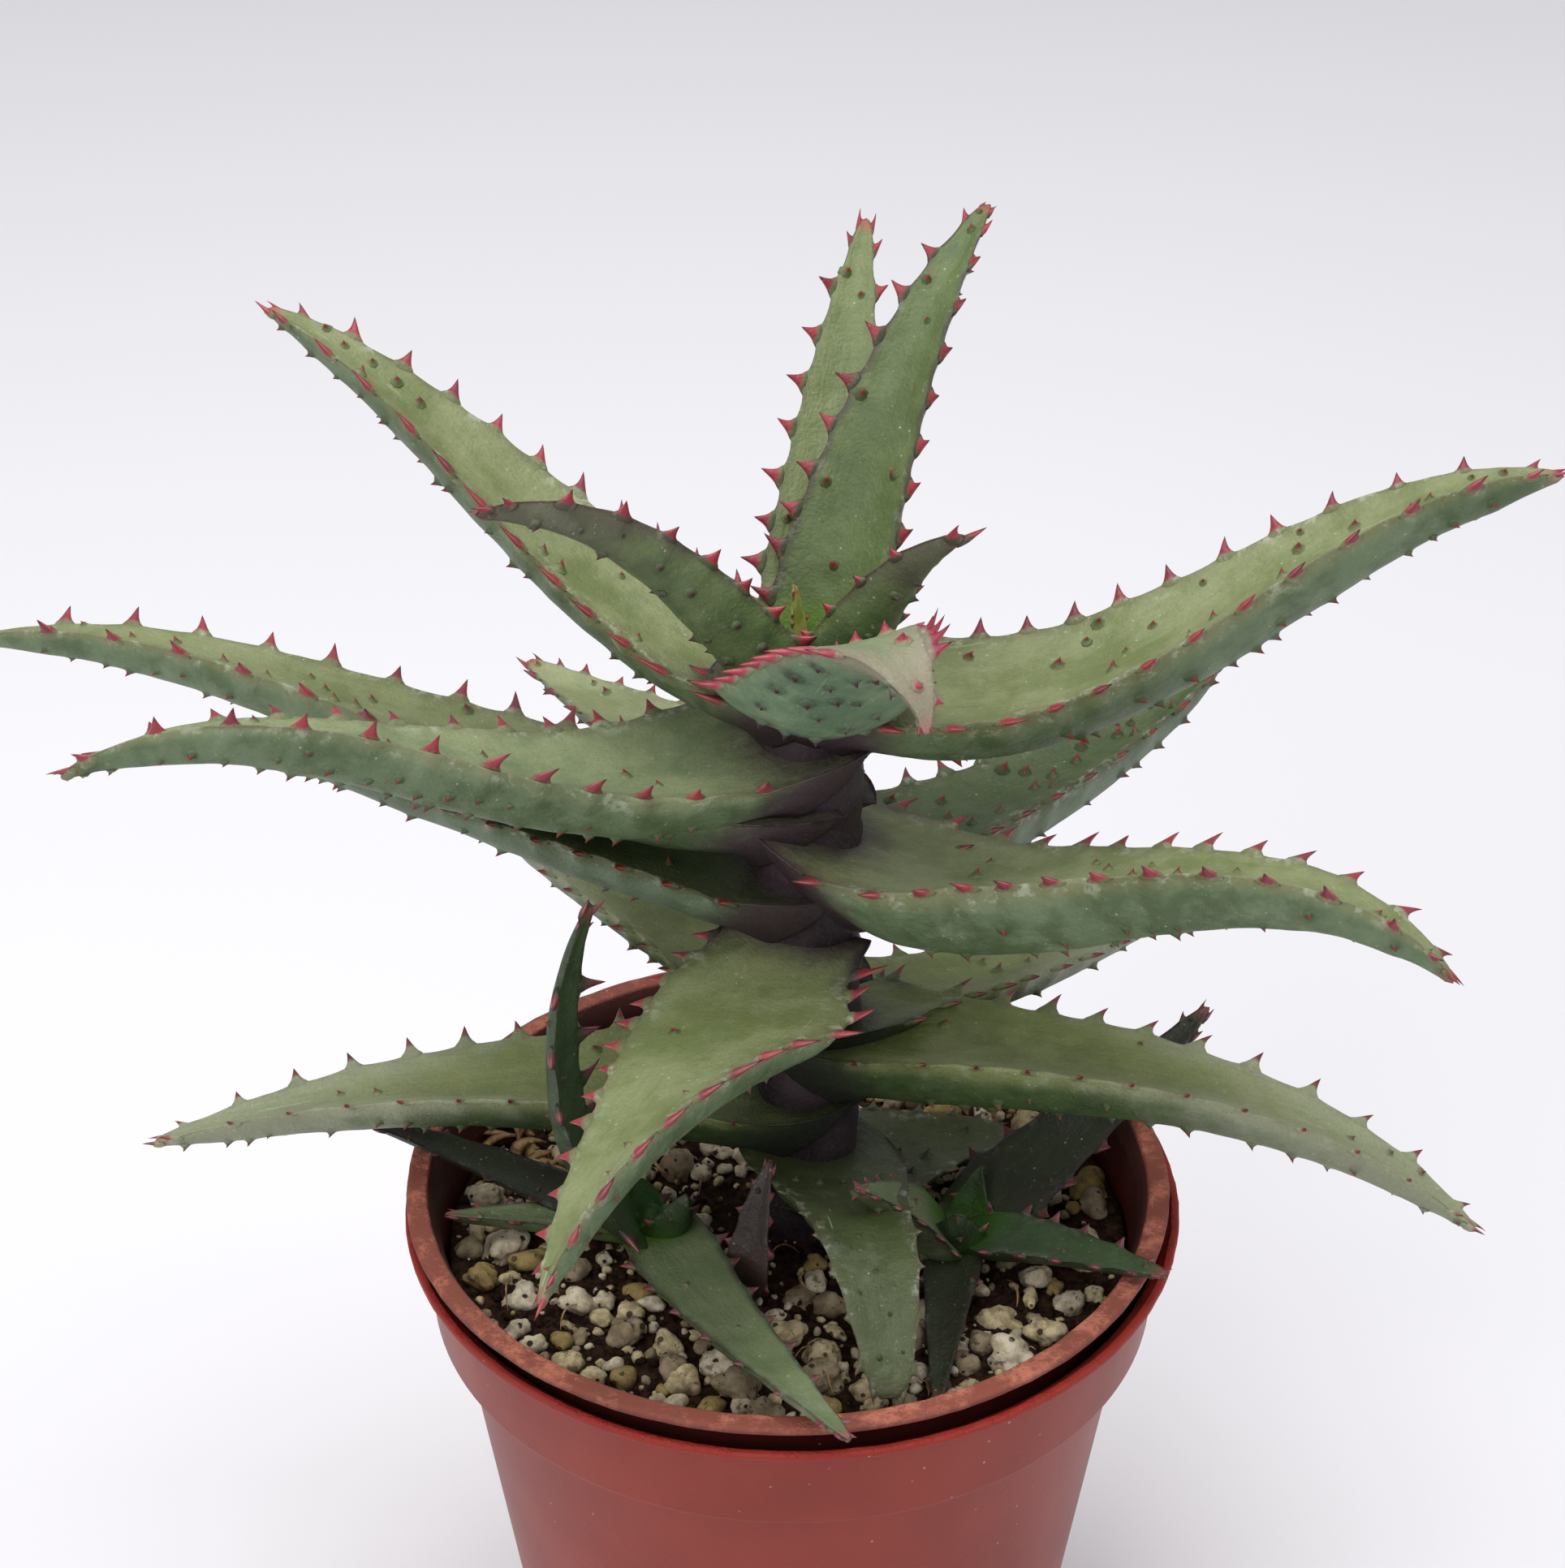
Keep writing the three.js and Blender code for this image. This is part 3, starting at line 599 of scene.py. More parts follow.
class Form:
    """Points and faces gathered for one piece, with named values at each point."""

    MARKS = (
        "face", "along", "margin", "root", "blush", "halo", "wart", "spine", "tint", "edge", "wear",
        "stain",
    )

    def __init__(self) -> None:
        """Start with nothing."""
        self.points: list[Vector] = []
        self.faces: list[tuple[int, ...]] = []
        self.slots: list[int] = []
        self.marks: dict[str, dict[int, float]] = {name: {} for name in self.MARKS}
        self.grains: dict[int, Triple] = {}
        self.slot = 0

    @classmethod
    def stay_inside(cls, low: Vector, high: Vector) -> None:
        """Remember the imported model's box, which no point leaves."""
        cls.low, cls.high = Vector(low), Vector(high)

    def held(self, place: Vector) -> Vector:
        """Return a place in metres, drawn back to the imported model's box where it lies outside."""
        return Vector(min(max(p * MM, a), b) for p, a, b in zip(place, self.low, self.high))

    def point(self, place: Vector, grain: Pair = (0.0, 0.0), **marks: float) -> int:
        """Add a point.

        Args:
            place: Where it is, in millimetres.
            grain: Millimetres along and across the leaf.
            **marks: Named values that the finish reads.

        Returns:
            Its number.
        """
        index = len(self.points)
        self.points.append(place.copy())
        for name, amount in marks.items():
            self.marks[name][index] = amount
        self.grains[index] = (grain[0] * MM, grain[1] * MM, 0.0)
        return index

    def add_face(self, *corners: int) -> None:
        """Add a face with the finish that is in hand."""
        self.faces.append(corners)
        self.slots.append(self.slot)

    def loft(self, rings: list[list[int]]) -> None:
        """Join rings of equal length with four-sided faces."""
        for near, far in zip(rings, rings[1:]):
            for k in range(len(near)):
                after = (k + 1) % len(near)
                self.add_face(near[k], near[after], far[after], far[k])

    def fan(self, ring: list[int], apex: int) -> None:
        """Close a ring to one point."""
        for k in range(len(ring)):
            self.add_face(ring[k], ring[(k + 1) % len(ring)], apex)

    def piece(self, name: str, finishes: list[bpy.types.Material]) -> bpy.types.Object:
        """Turn the form into a smooth object with outward faces.

        Args:
            name: The piece's name.
            finishes: Its materials, in the order of the form's slots.

        Returns:
            The object, riding on the plant's only body.
        """
        mesh = bpy.data.meshes.new(name)
        mesh.from_pydata([self.held(p) for p in self.points], [], self.faces)
        for finish in finishes:
            mesh.materials.append(finish)
        mesh.polygons.foreach_set("material_index", self.slots)
        count = len(self.points)
        for mark, values in self.marks.items():
            if values:
                layer = mesh.attributes.new(mark, "FLOAT", "POINT")
                layer.data.foreach_set("value", [values.get(i, 0.0) for i in range(count)])
        layer = mesh.attributes.new("grain", "FLOAT_VECTOR", "POINT")
        layer.data.foreach_set("vector", [x for i in range(count) for x in self.grains[i]])
        tidy = bmesh.new()
        tidy.from_mesh(mesh)
        bmesh.ops.recalc_face_normals(tidy, faces=tidy.faces)
        tidy.to_mesh(mesh)
        tidy.free()
        mesh.shade_smooth()
        made = add_object(name, mesh)
        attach(made, "root")
        return made


def turned(
    form: Form,
    profile: list[Pair],
    sides: int,
    centre: Pair,
    wobble: Callable[[Vector, float], Vector] | None = None,
    looks: Callable[[float, float], dict[str, float]] | None = None,
) -> None:
    """Add a turned shape whose profile starts and ends on the axis.

    Args:
        form: The form to add to.
        profile: Radius and height pairs in millimetres.
        sides: The number of points round it.
        centre: The axis's x and y.
        wobble: Moves a point, given its place and radius.
        looks: Gives a point's marks from its radius and height.
    """
    rings = []
    ends = []
    for radius, height in profile:
        if radius == 0:
            ends.append(form.point(Vector((centre[0], centre[1], height))))
            continue
        ring = []
        for k in range(sides):
            angle = FULL_TURN * k / sides
            x, y = centre[0] + radius * math.cos(angle), centre[1] + radius * math.sin(angle)
            place = Vector((x, y, height))
            if wobble:
                place = wobble(place, radius)
            ring.append(form.point(place, **(looks(radius, height) if looks else {})))
        rings.append(ring)
    form.loft(rings)
    form.fan(rings[0], ends[0])
    form.fan(rings[-1], ends[1])


class Draws:
    """Repeatable random numbers from 0 to 1, drawn as the solid parts draw them."""

    FACTOR, STEP, SPAN = 1664525, 1013904223, 4294967296

    def __init__(self, seed: int) -> None:
        """Start from a whole number."""
        self.state = seed

    def between(self, low: float, high: float) -> float:
        """Return the next draw, scaled to lie between low and high."""
        self.state = (self.state * self.FACTOR + self.STEP) % self.SPAN
        return low + (high - low) * self.state / self.SPAN


# The plant

# The stem, and the least radius of a stem that leaf bases wrap round
STEM_X, STEM_Y, STEM_RADIUS = 2.0, 4.0, 7.5
WRAPPING_CORE = 6.0

# The blade
CENTRE_STEPS = 48
LEAST_RINGS, RING_STEP, RING_GROWTH, LAST_RING = 20, 0.8, 1.3, 0.99
TIP_DEPTH, TIP_FADE = 0.9, 0.1
ROOT_WIDTH, FULL_WIDTH_AT = 0.8, 0.2
EDGE_DROP = 0.3
RIPPLES = ((0.28, 8.0), (0.09, 2.6))
UPPER_STEPS = [math.sin(math.pi / 2 * k / 7) for k in range(-7, 8)]
UNDER_STEPS = [math.cos(math.pi * k / 22) for k in range(1, 22)]

# Its clasping root
HEEL_INWARD = 0.7
CLASP_LENGTH = 20.0
WRAP_REACH = 18.8
NECK_REACH = 9.0
BULGE_PLACE, BULGE_REACH = 14.5, 5.5
SHEATH_DEPTH, SHEATH_FLARE, WING_DEPTH = 2.0, 3.0, 0.3
BLUSH_REACH, BLUSHING_LENGTH = 5.0, 24
# How far the root colour reaches: a purple stain on most leaves, painted shade on the low ones.
STAIN_AND_SHADE_WRAPPED, STAIN_AND_SHADE_PLAIN, STAIN_AND_SHADE_UPPER = 9.0, 7.0, 14.0

# Teeth on its margins: each layer's share of the length, its girth and its thickness
TOOTH_LENGTH, TOOTH_HALF_BASE, TOOTH_HALF_THICK = 3.0, 1.8, 0.55
TOOTH_LAYERS = (
    (-0.4, 0.7, 0.5), (-0.1, 1.0, 0.9), (0.08, 0.76, 1.0), (0.22, 0.53, 0.92),
    (0.4, 0.36, 0.74), (0.6, 0.23, 0.52), (0.8, 0.12, 0.3),
)
TOOTH_SIDES = 10
TOOTH_PLACES, TOOTH_LENGTHS, TOOTH_LEANS = (0.45, 0.55), (0.85, 1.15), (-0.2, 0.25)
ROW_GROWTH, ROW_FADE, ROOT_BARE = 1.25, 0.3, 2.2
MARGIN_SWELL, MARGIN_SWELL_REACH = 0.26, 1.5
TIP_SPINES = ((4.8, -1, 1.6, 0.7), (3.9, 1, 1.7, 0.7), (1.6, -1, 1.3, 1.5), (1.2, 1, 1.4, 1.5))

# Prickles on its faces: each layer's share of the height and its girth
PRICKLE_LAYERS = ((-0.6, 1.7), (-0.1, 1.25), (0.14, 0.8), (0.38, 0.47), (0.68, 0.24))
PRICKLE_SIDES, PRICKLE_TRIES, PRICKLE_LEAN, PRICKLE_GIRTH = 7, 12, 0.55, 0.72
PRICKLES_ALONG, PRICKLES_ACROSS, PRICKLE_SIZES = (0.12, 0.97), (-0.82, 0.82), (0.55, 1.3)
PRICKLE_SWELL, PRICKLE_SWELL_REACH, HALO_SPREAD, UPPER_HALO = 0.22, 4.0, 1.1, 0.45


@dataclass(frozen=True)
class Tooth:
    """One margin tooth: its place along the leaf, its side, length, lean and tint."""

    t: float
    side: int
    length: float
    lean: float
    tint: float


@dataclass(frozen=True)
class Prickle:
    """One prickle on a face: its place along and across the leaf, its height and its colour."""

    t: float
    u: float
    upper: bool
    size: float
    red: bool = False


@dataclass
class Leaf:
    """One leaf about an upright axis. Angles are degrees, azimuth 0 is right and 90 is away.

    rise holds the slope at root, middle and tip, roll the twist at root and tip, and channel the
    hollow of the upper face as a share of half the width. rows sets the teeth, one a side between
    rows, and lean how far they lean to the tip on each side, as a share of their length. tips gives
    the spines at the end: millimetres from the tip, side, length and lean. loose is how far the
    clasping base stands off the stem. top and under are the numbers of prickles on the two faces,
    prickle their size and spacing the least distance between them. knots are prickles given
    on the upper face, by place along and across and size. Teeth are scaled by tooth and stop at
    tooth_end. sides scales them on each side and upward tilts them up on each side. climb is how
    far the clasping margin climbs the stem on each side, and sag how far it sags just beyond it.
    wrap is half the width of the clasping base, neck the share of the width lost just outside it
    and bulge how far each margin swells after that. full is the power of the thickness's taper, a
    low one keeping the outer half thick.
    """

    height: float
    azimuth: float
    swing: float
    rise: Triple
    roll: Pair
    length: float
    width: float
    depth: float
    channel: Pair
    rows: int
    core: float = STEM_RADIUS
    taper: float = 0.72
    top: int = 8
    under: int = 26
    prickle: float = 1.0
    lean: Pair = (0.15, 0.15)
    sides: Pair = (1.0, 1.0)
    upward: Pair = (0.1, 0.1)
    climb: Pair = (0.0, 0.0)
    sag: Pair = (0.0, 0.0)
    wrap: float = WRAP_REACH
    neck: float = 0.0
    bulge: Pair = (0.0, 0.0)
    full: float = 0.65
    spacing: float = 3.0
    knots: tuple[Triple, ...] = ()
    tooth: float = 1.0
    tooth_end: float = 1.0
    loose: float = 0.7
    tips: tuple[tuple[float, int, float, float], ...] = TIP_SPINES
    skin: LeafSkin = MATURE
    x: float = STEM_X
    y: float = STEM_Y
    seed: int = 1
    middle: list[Vector] = field(default_factory=list, init=False)

    def __post_init__(self) -> None:
        """Trace the centre line once."""
        self.clasp = min(CLASP_LENGTH, CLASP_LENGTH * self.core / STEM_RADIUS)
        self.wraps = self.core >= WRAPPING_CORE
        turn = math.radians(self.azimuth)
        x, y = self.x + self.core * math.cos(turn), self.y + self.core * math.sin(turn)
        self.middle = [Vector((x, y, self.height))]
        for i in range(CENTRE_STEPS):
            step = self.direction((i + 0.5) / CENTRE_STEPS) * (self.length / CENTRE_STEPS)
            self.middle.append(self.middle[-1] + step)

    def direction(self, t: float) -> Vector:
        """Return the way that the leaf grows at t."""
        rise = math.radians(bend(self.rise, t))
        turn = math.radians(self.azimuth + self.swing * t)
        level = math.cos(rise)
        return Vector((level * math.cos(turn), level * math.sin(turn), math.sin(rise)))

    def centre(self, t: float) -> Vector:
        """Return the middle of the upper face at t."""
        place = min(max(t, 0.0), 1.0) * (len(self.middle) - 1)
        index = min(int(place), len(self.middle) - 2)
        return self.middle[index].lerp(self.middle[index + 1], place - index)

    def hug(self, t: float) -> float:
        """Return how closely the section at t bends round the stem, from 1 at the root to 0."""
        return max(1 - t * self.length / self.clasp, 0) ** 2

    def half_width(self, t: float) -> float:
        """Return half the leaf's width at t, with the base that wraps the stem."""
        opening = min(t / FULL_WIDTH_AT, 1)
        shape = ROOT_WIDTH + (1 - ROOT_WIDTH) * opening * (2 - opening)
        shape *= max(1 - t, 0) ** self.taper
        blade = self.width * shape / 2
        if not self.wraps:
            return blade
        blade *= 1 - self.neck * math.exp(-((t * self.length / NECK_REACH) ** 2))
        return blade + max(self.wrap - blade, 0) * self.hug(t) ** 1.5

    def thickness(self, t: float) -> float:
        """Return the leaf's greatest thickness at t."""
        left = max(1 - t, 0)
        return self.depth * left**self.full * min(1.0, left / TIP_FADE) ** 0.5 + TIP_DEPTH

    def axes(self, t: float) -> tuple[Vector, Vector, Vector]:
        """Return the directions along, across and up at t, with the leaf's roll."""
        along = self.direction(t)
        turn = math.radians(self.azimuth + self.swing * t)
        level = Vector((-math.sin(turn), math.cos(turn), 0))
        across = Quaternion(along, math.radians(blend(self.roll, t))) @ level
        return along, across, along.cross(across)

    def place(self, t: float, u: float, drop: float = 0.0, inward: float = 1.0) -> Vector:
        """Return a point of the section at t, bent round the stem near the root.

        Args:
            t: From 0 at the root to 1 at the tip.
            u: From -1 to 1 across the leaf.
            drop: How far below the upper face.
            inward: A factor on the distance from the stem's axis.

        Returns:
            The place in millimetres.
        """
        along, across, up = self.axes(t)
        hug = self.hug(t)
        if self.wraps:
            level = Vector((along.x, along.y, 0)).normalized()
            along = along.lerp(level, hug).normalized()
            up = up.lerp(Vector((0, 0, 1)), hug).normalized()
        half = self.half_width(t)
        curve = hug / (self.core + (self.loose if self.wraps else 0.0)) + 1e-6
        turn = u * half * curve
        hollow = blend(self.channel, t) * min(half, self.width / 2) * u * u
        side = u > 0
        hollow += (self.climb[side] * hug**4 - 4 * self.sag[side] * hug * (1 - hug)) * u * u
        beyond = (t * self.length - BULGE_PLACE) / BULGE_REACH
        wider = self.bulge[side] * math.exp(-beyond * beyond) * u * abs(u)
        spot = (
            self.centre(t)
            + across * (math.sin(turn) / curve + wider)
            - along * ((1 - math.cos(turn)) / curve)
            + up * (hollow - drop)
        )
        if inward == 1.0:
            return spot
        axis = Vector((self.x, self.y, spot.z))
        return axis + (spot - axis) * inward

    def under_drop(self, t: float, u: float) -> float:
        """Return how far the underside lies below the upper face, with its foot on the stem."""
        wing = self.hug(t) if self.wraps else 0.0
        blade = self.thickness(t) * max(1 - abs(u) ** (2.3 - wing), 0.0) ** (0.6 + 0.5 * wing)
        if not self.wraps:
            return blade
        near = max(1 - t * self.length / SHEATH_FLARE, 0.0)
        return blade + SHEATH_DEPTH * near**2 * (1 - u * u) + WING_DEPTH * wing * (1 - abs(u) ** 8)

    def on_skin(self, t: float, u: float, upper: bool) -> tuple[Vector, Vector]:
        """Return a point of the skin and the direction straight out of it.

        Args:
            t: From 0 at the root to 1 at the tip.
            u: From -1 to 1 across the leaf.
            upper: True for the hollow upper face.

        Returns:
            The place and the outward direction.
        """

        def at(along: float, across: float) -> Vector:
            """Return the skin's place."""
            return self.place(along, across, 0.0 if upper else self.under_drop(along, across))

        here = at(t, u)
        out = (at(t + 0.01, u) - here).cross(at(t, u + 0.02) - here).normalized()
        return here, out if upper else -out

    def ripple(self, place: Vector) -> float:
        """Return the small unevenness of the skin at a place."""
        return sum(depth * noise.noise(place / size) for depth, size in RIPPLES)

    def teeth(self) -> list[Tooth]:
        """Return every margin tooth and the spines at the tip."""
        draws, looks = Draws(self.seed), random.Random(self.seed + 7)
        size = min(1, 0.25 + self.width / 26)
        found = []
        for row in range(1, self.rows):
            near, far = (((row - back) / self.rows) ** ROW_GROWTH for back in (1, 0))
            for side in (-1, 1):
                t = near + (far - near) * draws.between(*TOOTH_PLACES)
                fade = 1 - ROW_FADE * ((row - 0.5) / self.rows) ** ROW_GROWTH
                scale = size * self.tooth * fade * self.sides[side > 0]
                length = TOOTH_LENGTH * scale * draws.between(*TOOTH_LENGTHS)
                lean = self.lean[side > 0] + looks.uniform(*TOOTH_LEANS)
                tint = looks.random()
                if t < self.tooth_end and t * self.length > (ROOT_BARE if self.wraps else 0.0):
                    found.append(Tooth(t, side, length, lean, tint))
        for gap, side, length, lean in self.tips:
            length *= looks.uniform(*TOOTH_LENGTHS) * size
            found.append(Tooth(1 - gap / self.length, side, length, lean, looks.random()))
        return found

    def prickles(self) -> list[Prickle]:
        """Scatter prickles over both faces, none too near another."""
        draws = random.Random(self.seed)
        found = [Prickle(t, u, True, size, red=True) for t, u, size in self.knots]
        for upper, count in ((True, self.top), (False, self.under)):
            spots: list[Pair] = []
            for _ in range(count * PRICKLE_TRIES):
                if len(spots) >= count:
                    break
                t, u = draws.uniform(*PRICKLES_ALONG), draws.uniform(*PRICKLES_ACROSS)
                half = self.half_width(t)
                gaps = (math.hypot((t - a) * self.length, (u - b) * half * 1.3) for a, b in spots)
                if any(gap < self.spacing for gap in gaps):
                    continue
                spots.append((t, u))
                size = draws.uniform(*PRICKLE_SIZES) * self.prickle * (1 - 0.3 * t)
                found.append(Prickle(t, u, upper, size))
        return found

    def grow(self, form: Form) -> None:
        """Add the whole leaf to a form."""
        teeth, prickles = self.teeth(), self.prickles()
        self.add_body(form, teeth, prickles)
        for tooth in teeth:
            self.add_tooth(form, tooth)
        for prickle in prickles:
            self.add_prickle(form, prickle)

    def add_body(self, form: Form, teeth: list[Tooth], prickles: list[Prickle]) -> None:
        """Add the leaf's blade, swollen a little where each tooth and prickle stands."""
        steps = max(LEAST_RINGS, round(self.length / RING_STEP))
        reach = PRICKLE_SWELL_REACH / self.length
        rings = [self.ring(form, 0.0, [], [], HEEL_INWARD)]
        for i in range(steps + 1):
            t = LAST_RING * (i / steps) ** RING_GROWTH
            near = [p for p in prickles if not p.red and abs(p.t - t) < reach]
            rings.append(self.ring(form, t, teeth, near))
        form.loft(rings)
        heel = sum((form.points[i] for i in rings[0]), Vector()) / len(rings[0])
        heel.x, heel.y = self.x, self.y
        form.fan(rings[0], form.point(heel, root=1.0))
        tip = form.point(self.place(1, 0, TIP_DEPTH / 2), face=0.5, along=1.0, blush=1.0)
        form.fan(rings[-1], tip)

    def ring(
        self, form: Form, t: float, teeth: list[Tooth], prickles: list[Prickle], inward: float = 1.0
    ) -> list[int]:
        """Add one section of the blade.

        Args:
            form: The form to add to.
            t: From 0 at the root to 1 at the tip.
            teeth: The leaf's teeth.
            prickles: The prickles near this section.
            inward: A factor on the distance from the stem's axis.

        Returns:
            The numbers of its points.
        """
        half = self.half_width(t)
        reach = t * self.length
        _, across, up = self.axes(t)
        left = sum(self.swell(t, tooth) for tooth in teeth if tooth.side < 0)
        right = sum(self.swell(t, tooth) for tooth in teeth if tooth.side > 0)
        blush = max(0.0, 1 - (self.length - reach) / BLUSH_REACH)
        blush *= min(1.0, self.length / BLUSHING_LENGTH)
        outline = [(u, True) for u in UPPER_STEPS] + [(u, False) for u in UNDER_STEPS]
        ring = []
        for u, upper in outline:
            drop = EDGE_DROP * abs(u) ** 10 if upper else self.under_drop(t, u)
            place = self.place(t, u, drop, inward)
            halo = sum(self.halo(t, u, half, p) for p in prickles if p.upper == upper)
            lift = self.ripple(place) * min(1.0, half / 4) + PRICKLE_SWELL * self.prickle * halo
            place += up * (lift if upper else -lift)
            swell = right if u > 0 else left
            place += across * (math.copysign(1, u) * swell * abs(u) ** 4)
            marks = {
                "face": 1.0 if upper else 0.75 * abs(u) ** 8,
                "along": t,
                "blush": blush,
                "margin": abs(u) ** 2 if upper else abs(u) ** 6,
                "root": self.stain_and_shade_at(t, u, upper),
                "halo": min(halo, 1.0) * (UPPER_HALO if upper else 1.0),
            }
            ring.append(form.point(place, (reach, u * half), **marks))
        return ring

    def stain_and_shade_at(self, t: float, u: float, upper: bool) -> float:
        """Return how much root colour the clasping base takes at t and u on the upper face or the
        underside: a purple stain on most leaves, painted shade on the low ones.
        """
        reach = t * self.length
        if not upper or not self.wraps:
            return max(0.0, 1 - reach / (STAIN_AND_SHADE_WRAPPED if self.wraps else STAIN_AND_SHADE_PLAIN))
        wing = 2.0 * (abs(u) - 0.6) * self.hug(t)
        return max(0.0, 0.5 - reach / STAIN_AND_SHADE_UPPER, wing)

    def swell(self, t: float, tooth: Tooth) -> float:
        """Return how far the margin swells at t for a tooth."""
        reach = (t - tooth.t) * self.length / MARGIN_SWELL_REACH
        return MARGIN_SWELL * tooth.length * math.exp(-reach * reach) if abs(reach) < 3 else 0.0

    def halo(self, t: float, u: float, half: float, prickle: Prickle) -> float:
        """Return how strongly a place lies in the raised dark ring round a prickle."""
        spread = HALO_SPREAD * min(max(prickle.size, 0.5), 1.4)
        away = math.hypot((t - prickle.t) * self.length, (u - prickle.u) * half) / spread
        return math.exp(-away * away) if away < 2.5 else 0.0

    def add_tooth(self, form: Form, tooth: Tooth) -> None:
        """Add one hooked tooth, flat in the plane of the leaf."""
        t, side, length = tooth.t, tooth.side, tooth.length
        _, across, up = self.axes(t)
        tilt = self.upward[side > 0]
        foot = self.place(t, side, 0.5) + across * (side * (0.18 - 0.25 * tilt) * length)
        ahead = self.place(min(t + 0.02, 1.0), side, 0.5)
        forward = (ahead - self.place(t, side, 0.5)).normalized()
        out = self.place(t, side, 0) - self.place(t, side * 0.8, 0)
        out = (out - forward * out.dot(forward)).normalized()
        out = (out + up * tilt).normalized()
        thick = forward.cross(out)
        size = min(1.0, 0.35 + length / 4.0)
        base, depth = TOOTH_HALF_BASE * size, TOOTH_HALF_THICK * size
        rings = []
        for share, girth, bulk in TOOTH_LAYERS:
            middle = foot + out * (length * share)
            middle += forward * (tooth.lean * length * max(share, 0) ** 1.5)
            if share < 0:
                middle -= up * (0.5 * -share)
            ring = []
            for k in range(TOOTH_SIDES):
                angle = FULL_TURN * k / TOOTH_SIDES
                spot = middle + forward * (base * girth * math.cos(angle))
                spot += thick * (depth * bulk * math.sin(angle))
                marks = {
                    "spine": max(share, 0.0) + 0.01,
                    "edge": abs(math.cos(angle)) ** 3,
                    "root": self.stain_and_shade_at(t, side, False),
                    "margin": 1 - max(share, 0.0),
                    "tint": tooth.tint,
                }
                ring.append(form.point(spot, (t * self.length, 0), along=t, face=0.6, **marks))
            rings.append(ring)
        form.loft(rings)
        form.fan(rings[0], form.point(foot - out * (length * 0.45) - up * 0.3, along=t, face=0.5))
        apex = foot + out * length + forward * (tooth.lean * length)
        form.fan(rings[-1], form.point(apex, along=t, face=0.5, spine=1.0, tint=tooth.tint))

    def add_prickle(self, form: Form, prickle: Prickle) -> None:
        """Add one prickle with a spreading foot, leaning to the tip."""
        foot, out = self.on_skin(prickle.t, prickle.u, prickle.upper)
        foot += out * (PRICKLE_SWELL * self.prickle)
        forward = self.direction(prickle.t)
        side = out.cross(forward).normalized()
        forward = side.cross(out)
        face = 1.0 if prickle.upper else 0.0
        size = prickle.size
        rings = []
        for share, girth in PRICKLE_LAYERS:
            middle = foot + out * (size * share)
            middle += forward * (PRICKLE_LEAN * size * max(share, 0) ** 1.4)
            reach = PRICKLE_GIRTH * size * girth
            height = 0.06 + 0.94 * max(share, 0.0)
            marks = {"spine": height} if prickle.red else {"wart": height, "halo": 0.35}
            ring = []
            for k in range(PRICKLE_SIDES):
                angle = FULL_TURN * k / PRICKLE_SIDES
                spot = middle + (forward * math.cos(angle) + side * math.sin(angle)) * reach
                ring.append(form.point(spot, along=prickle.t, face=face, **marks))
            rings.append(ring)
        form.loft(rings)
        form.fan(rings[0], form.point(foot - out * (size * 0.7), along=prickle.t, face=face))
        apex = foot + out * size + forward * (PRICKLE_LEAN * size)
        marks = {"spine": 1.0} if prickle.red else {"wart": 1.0}
        form.fan(rings[-1], form.point(apex, along=prickle.t, face=face, **marks))


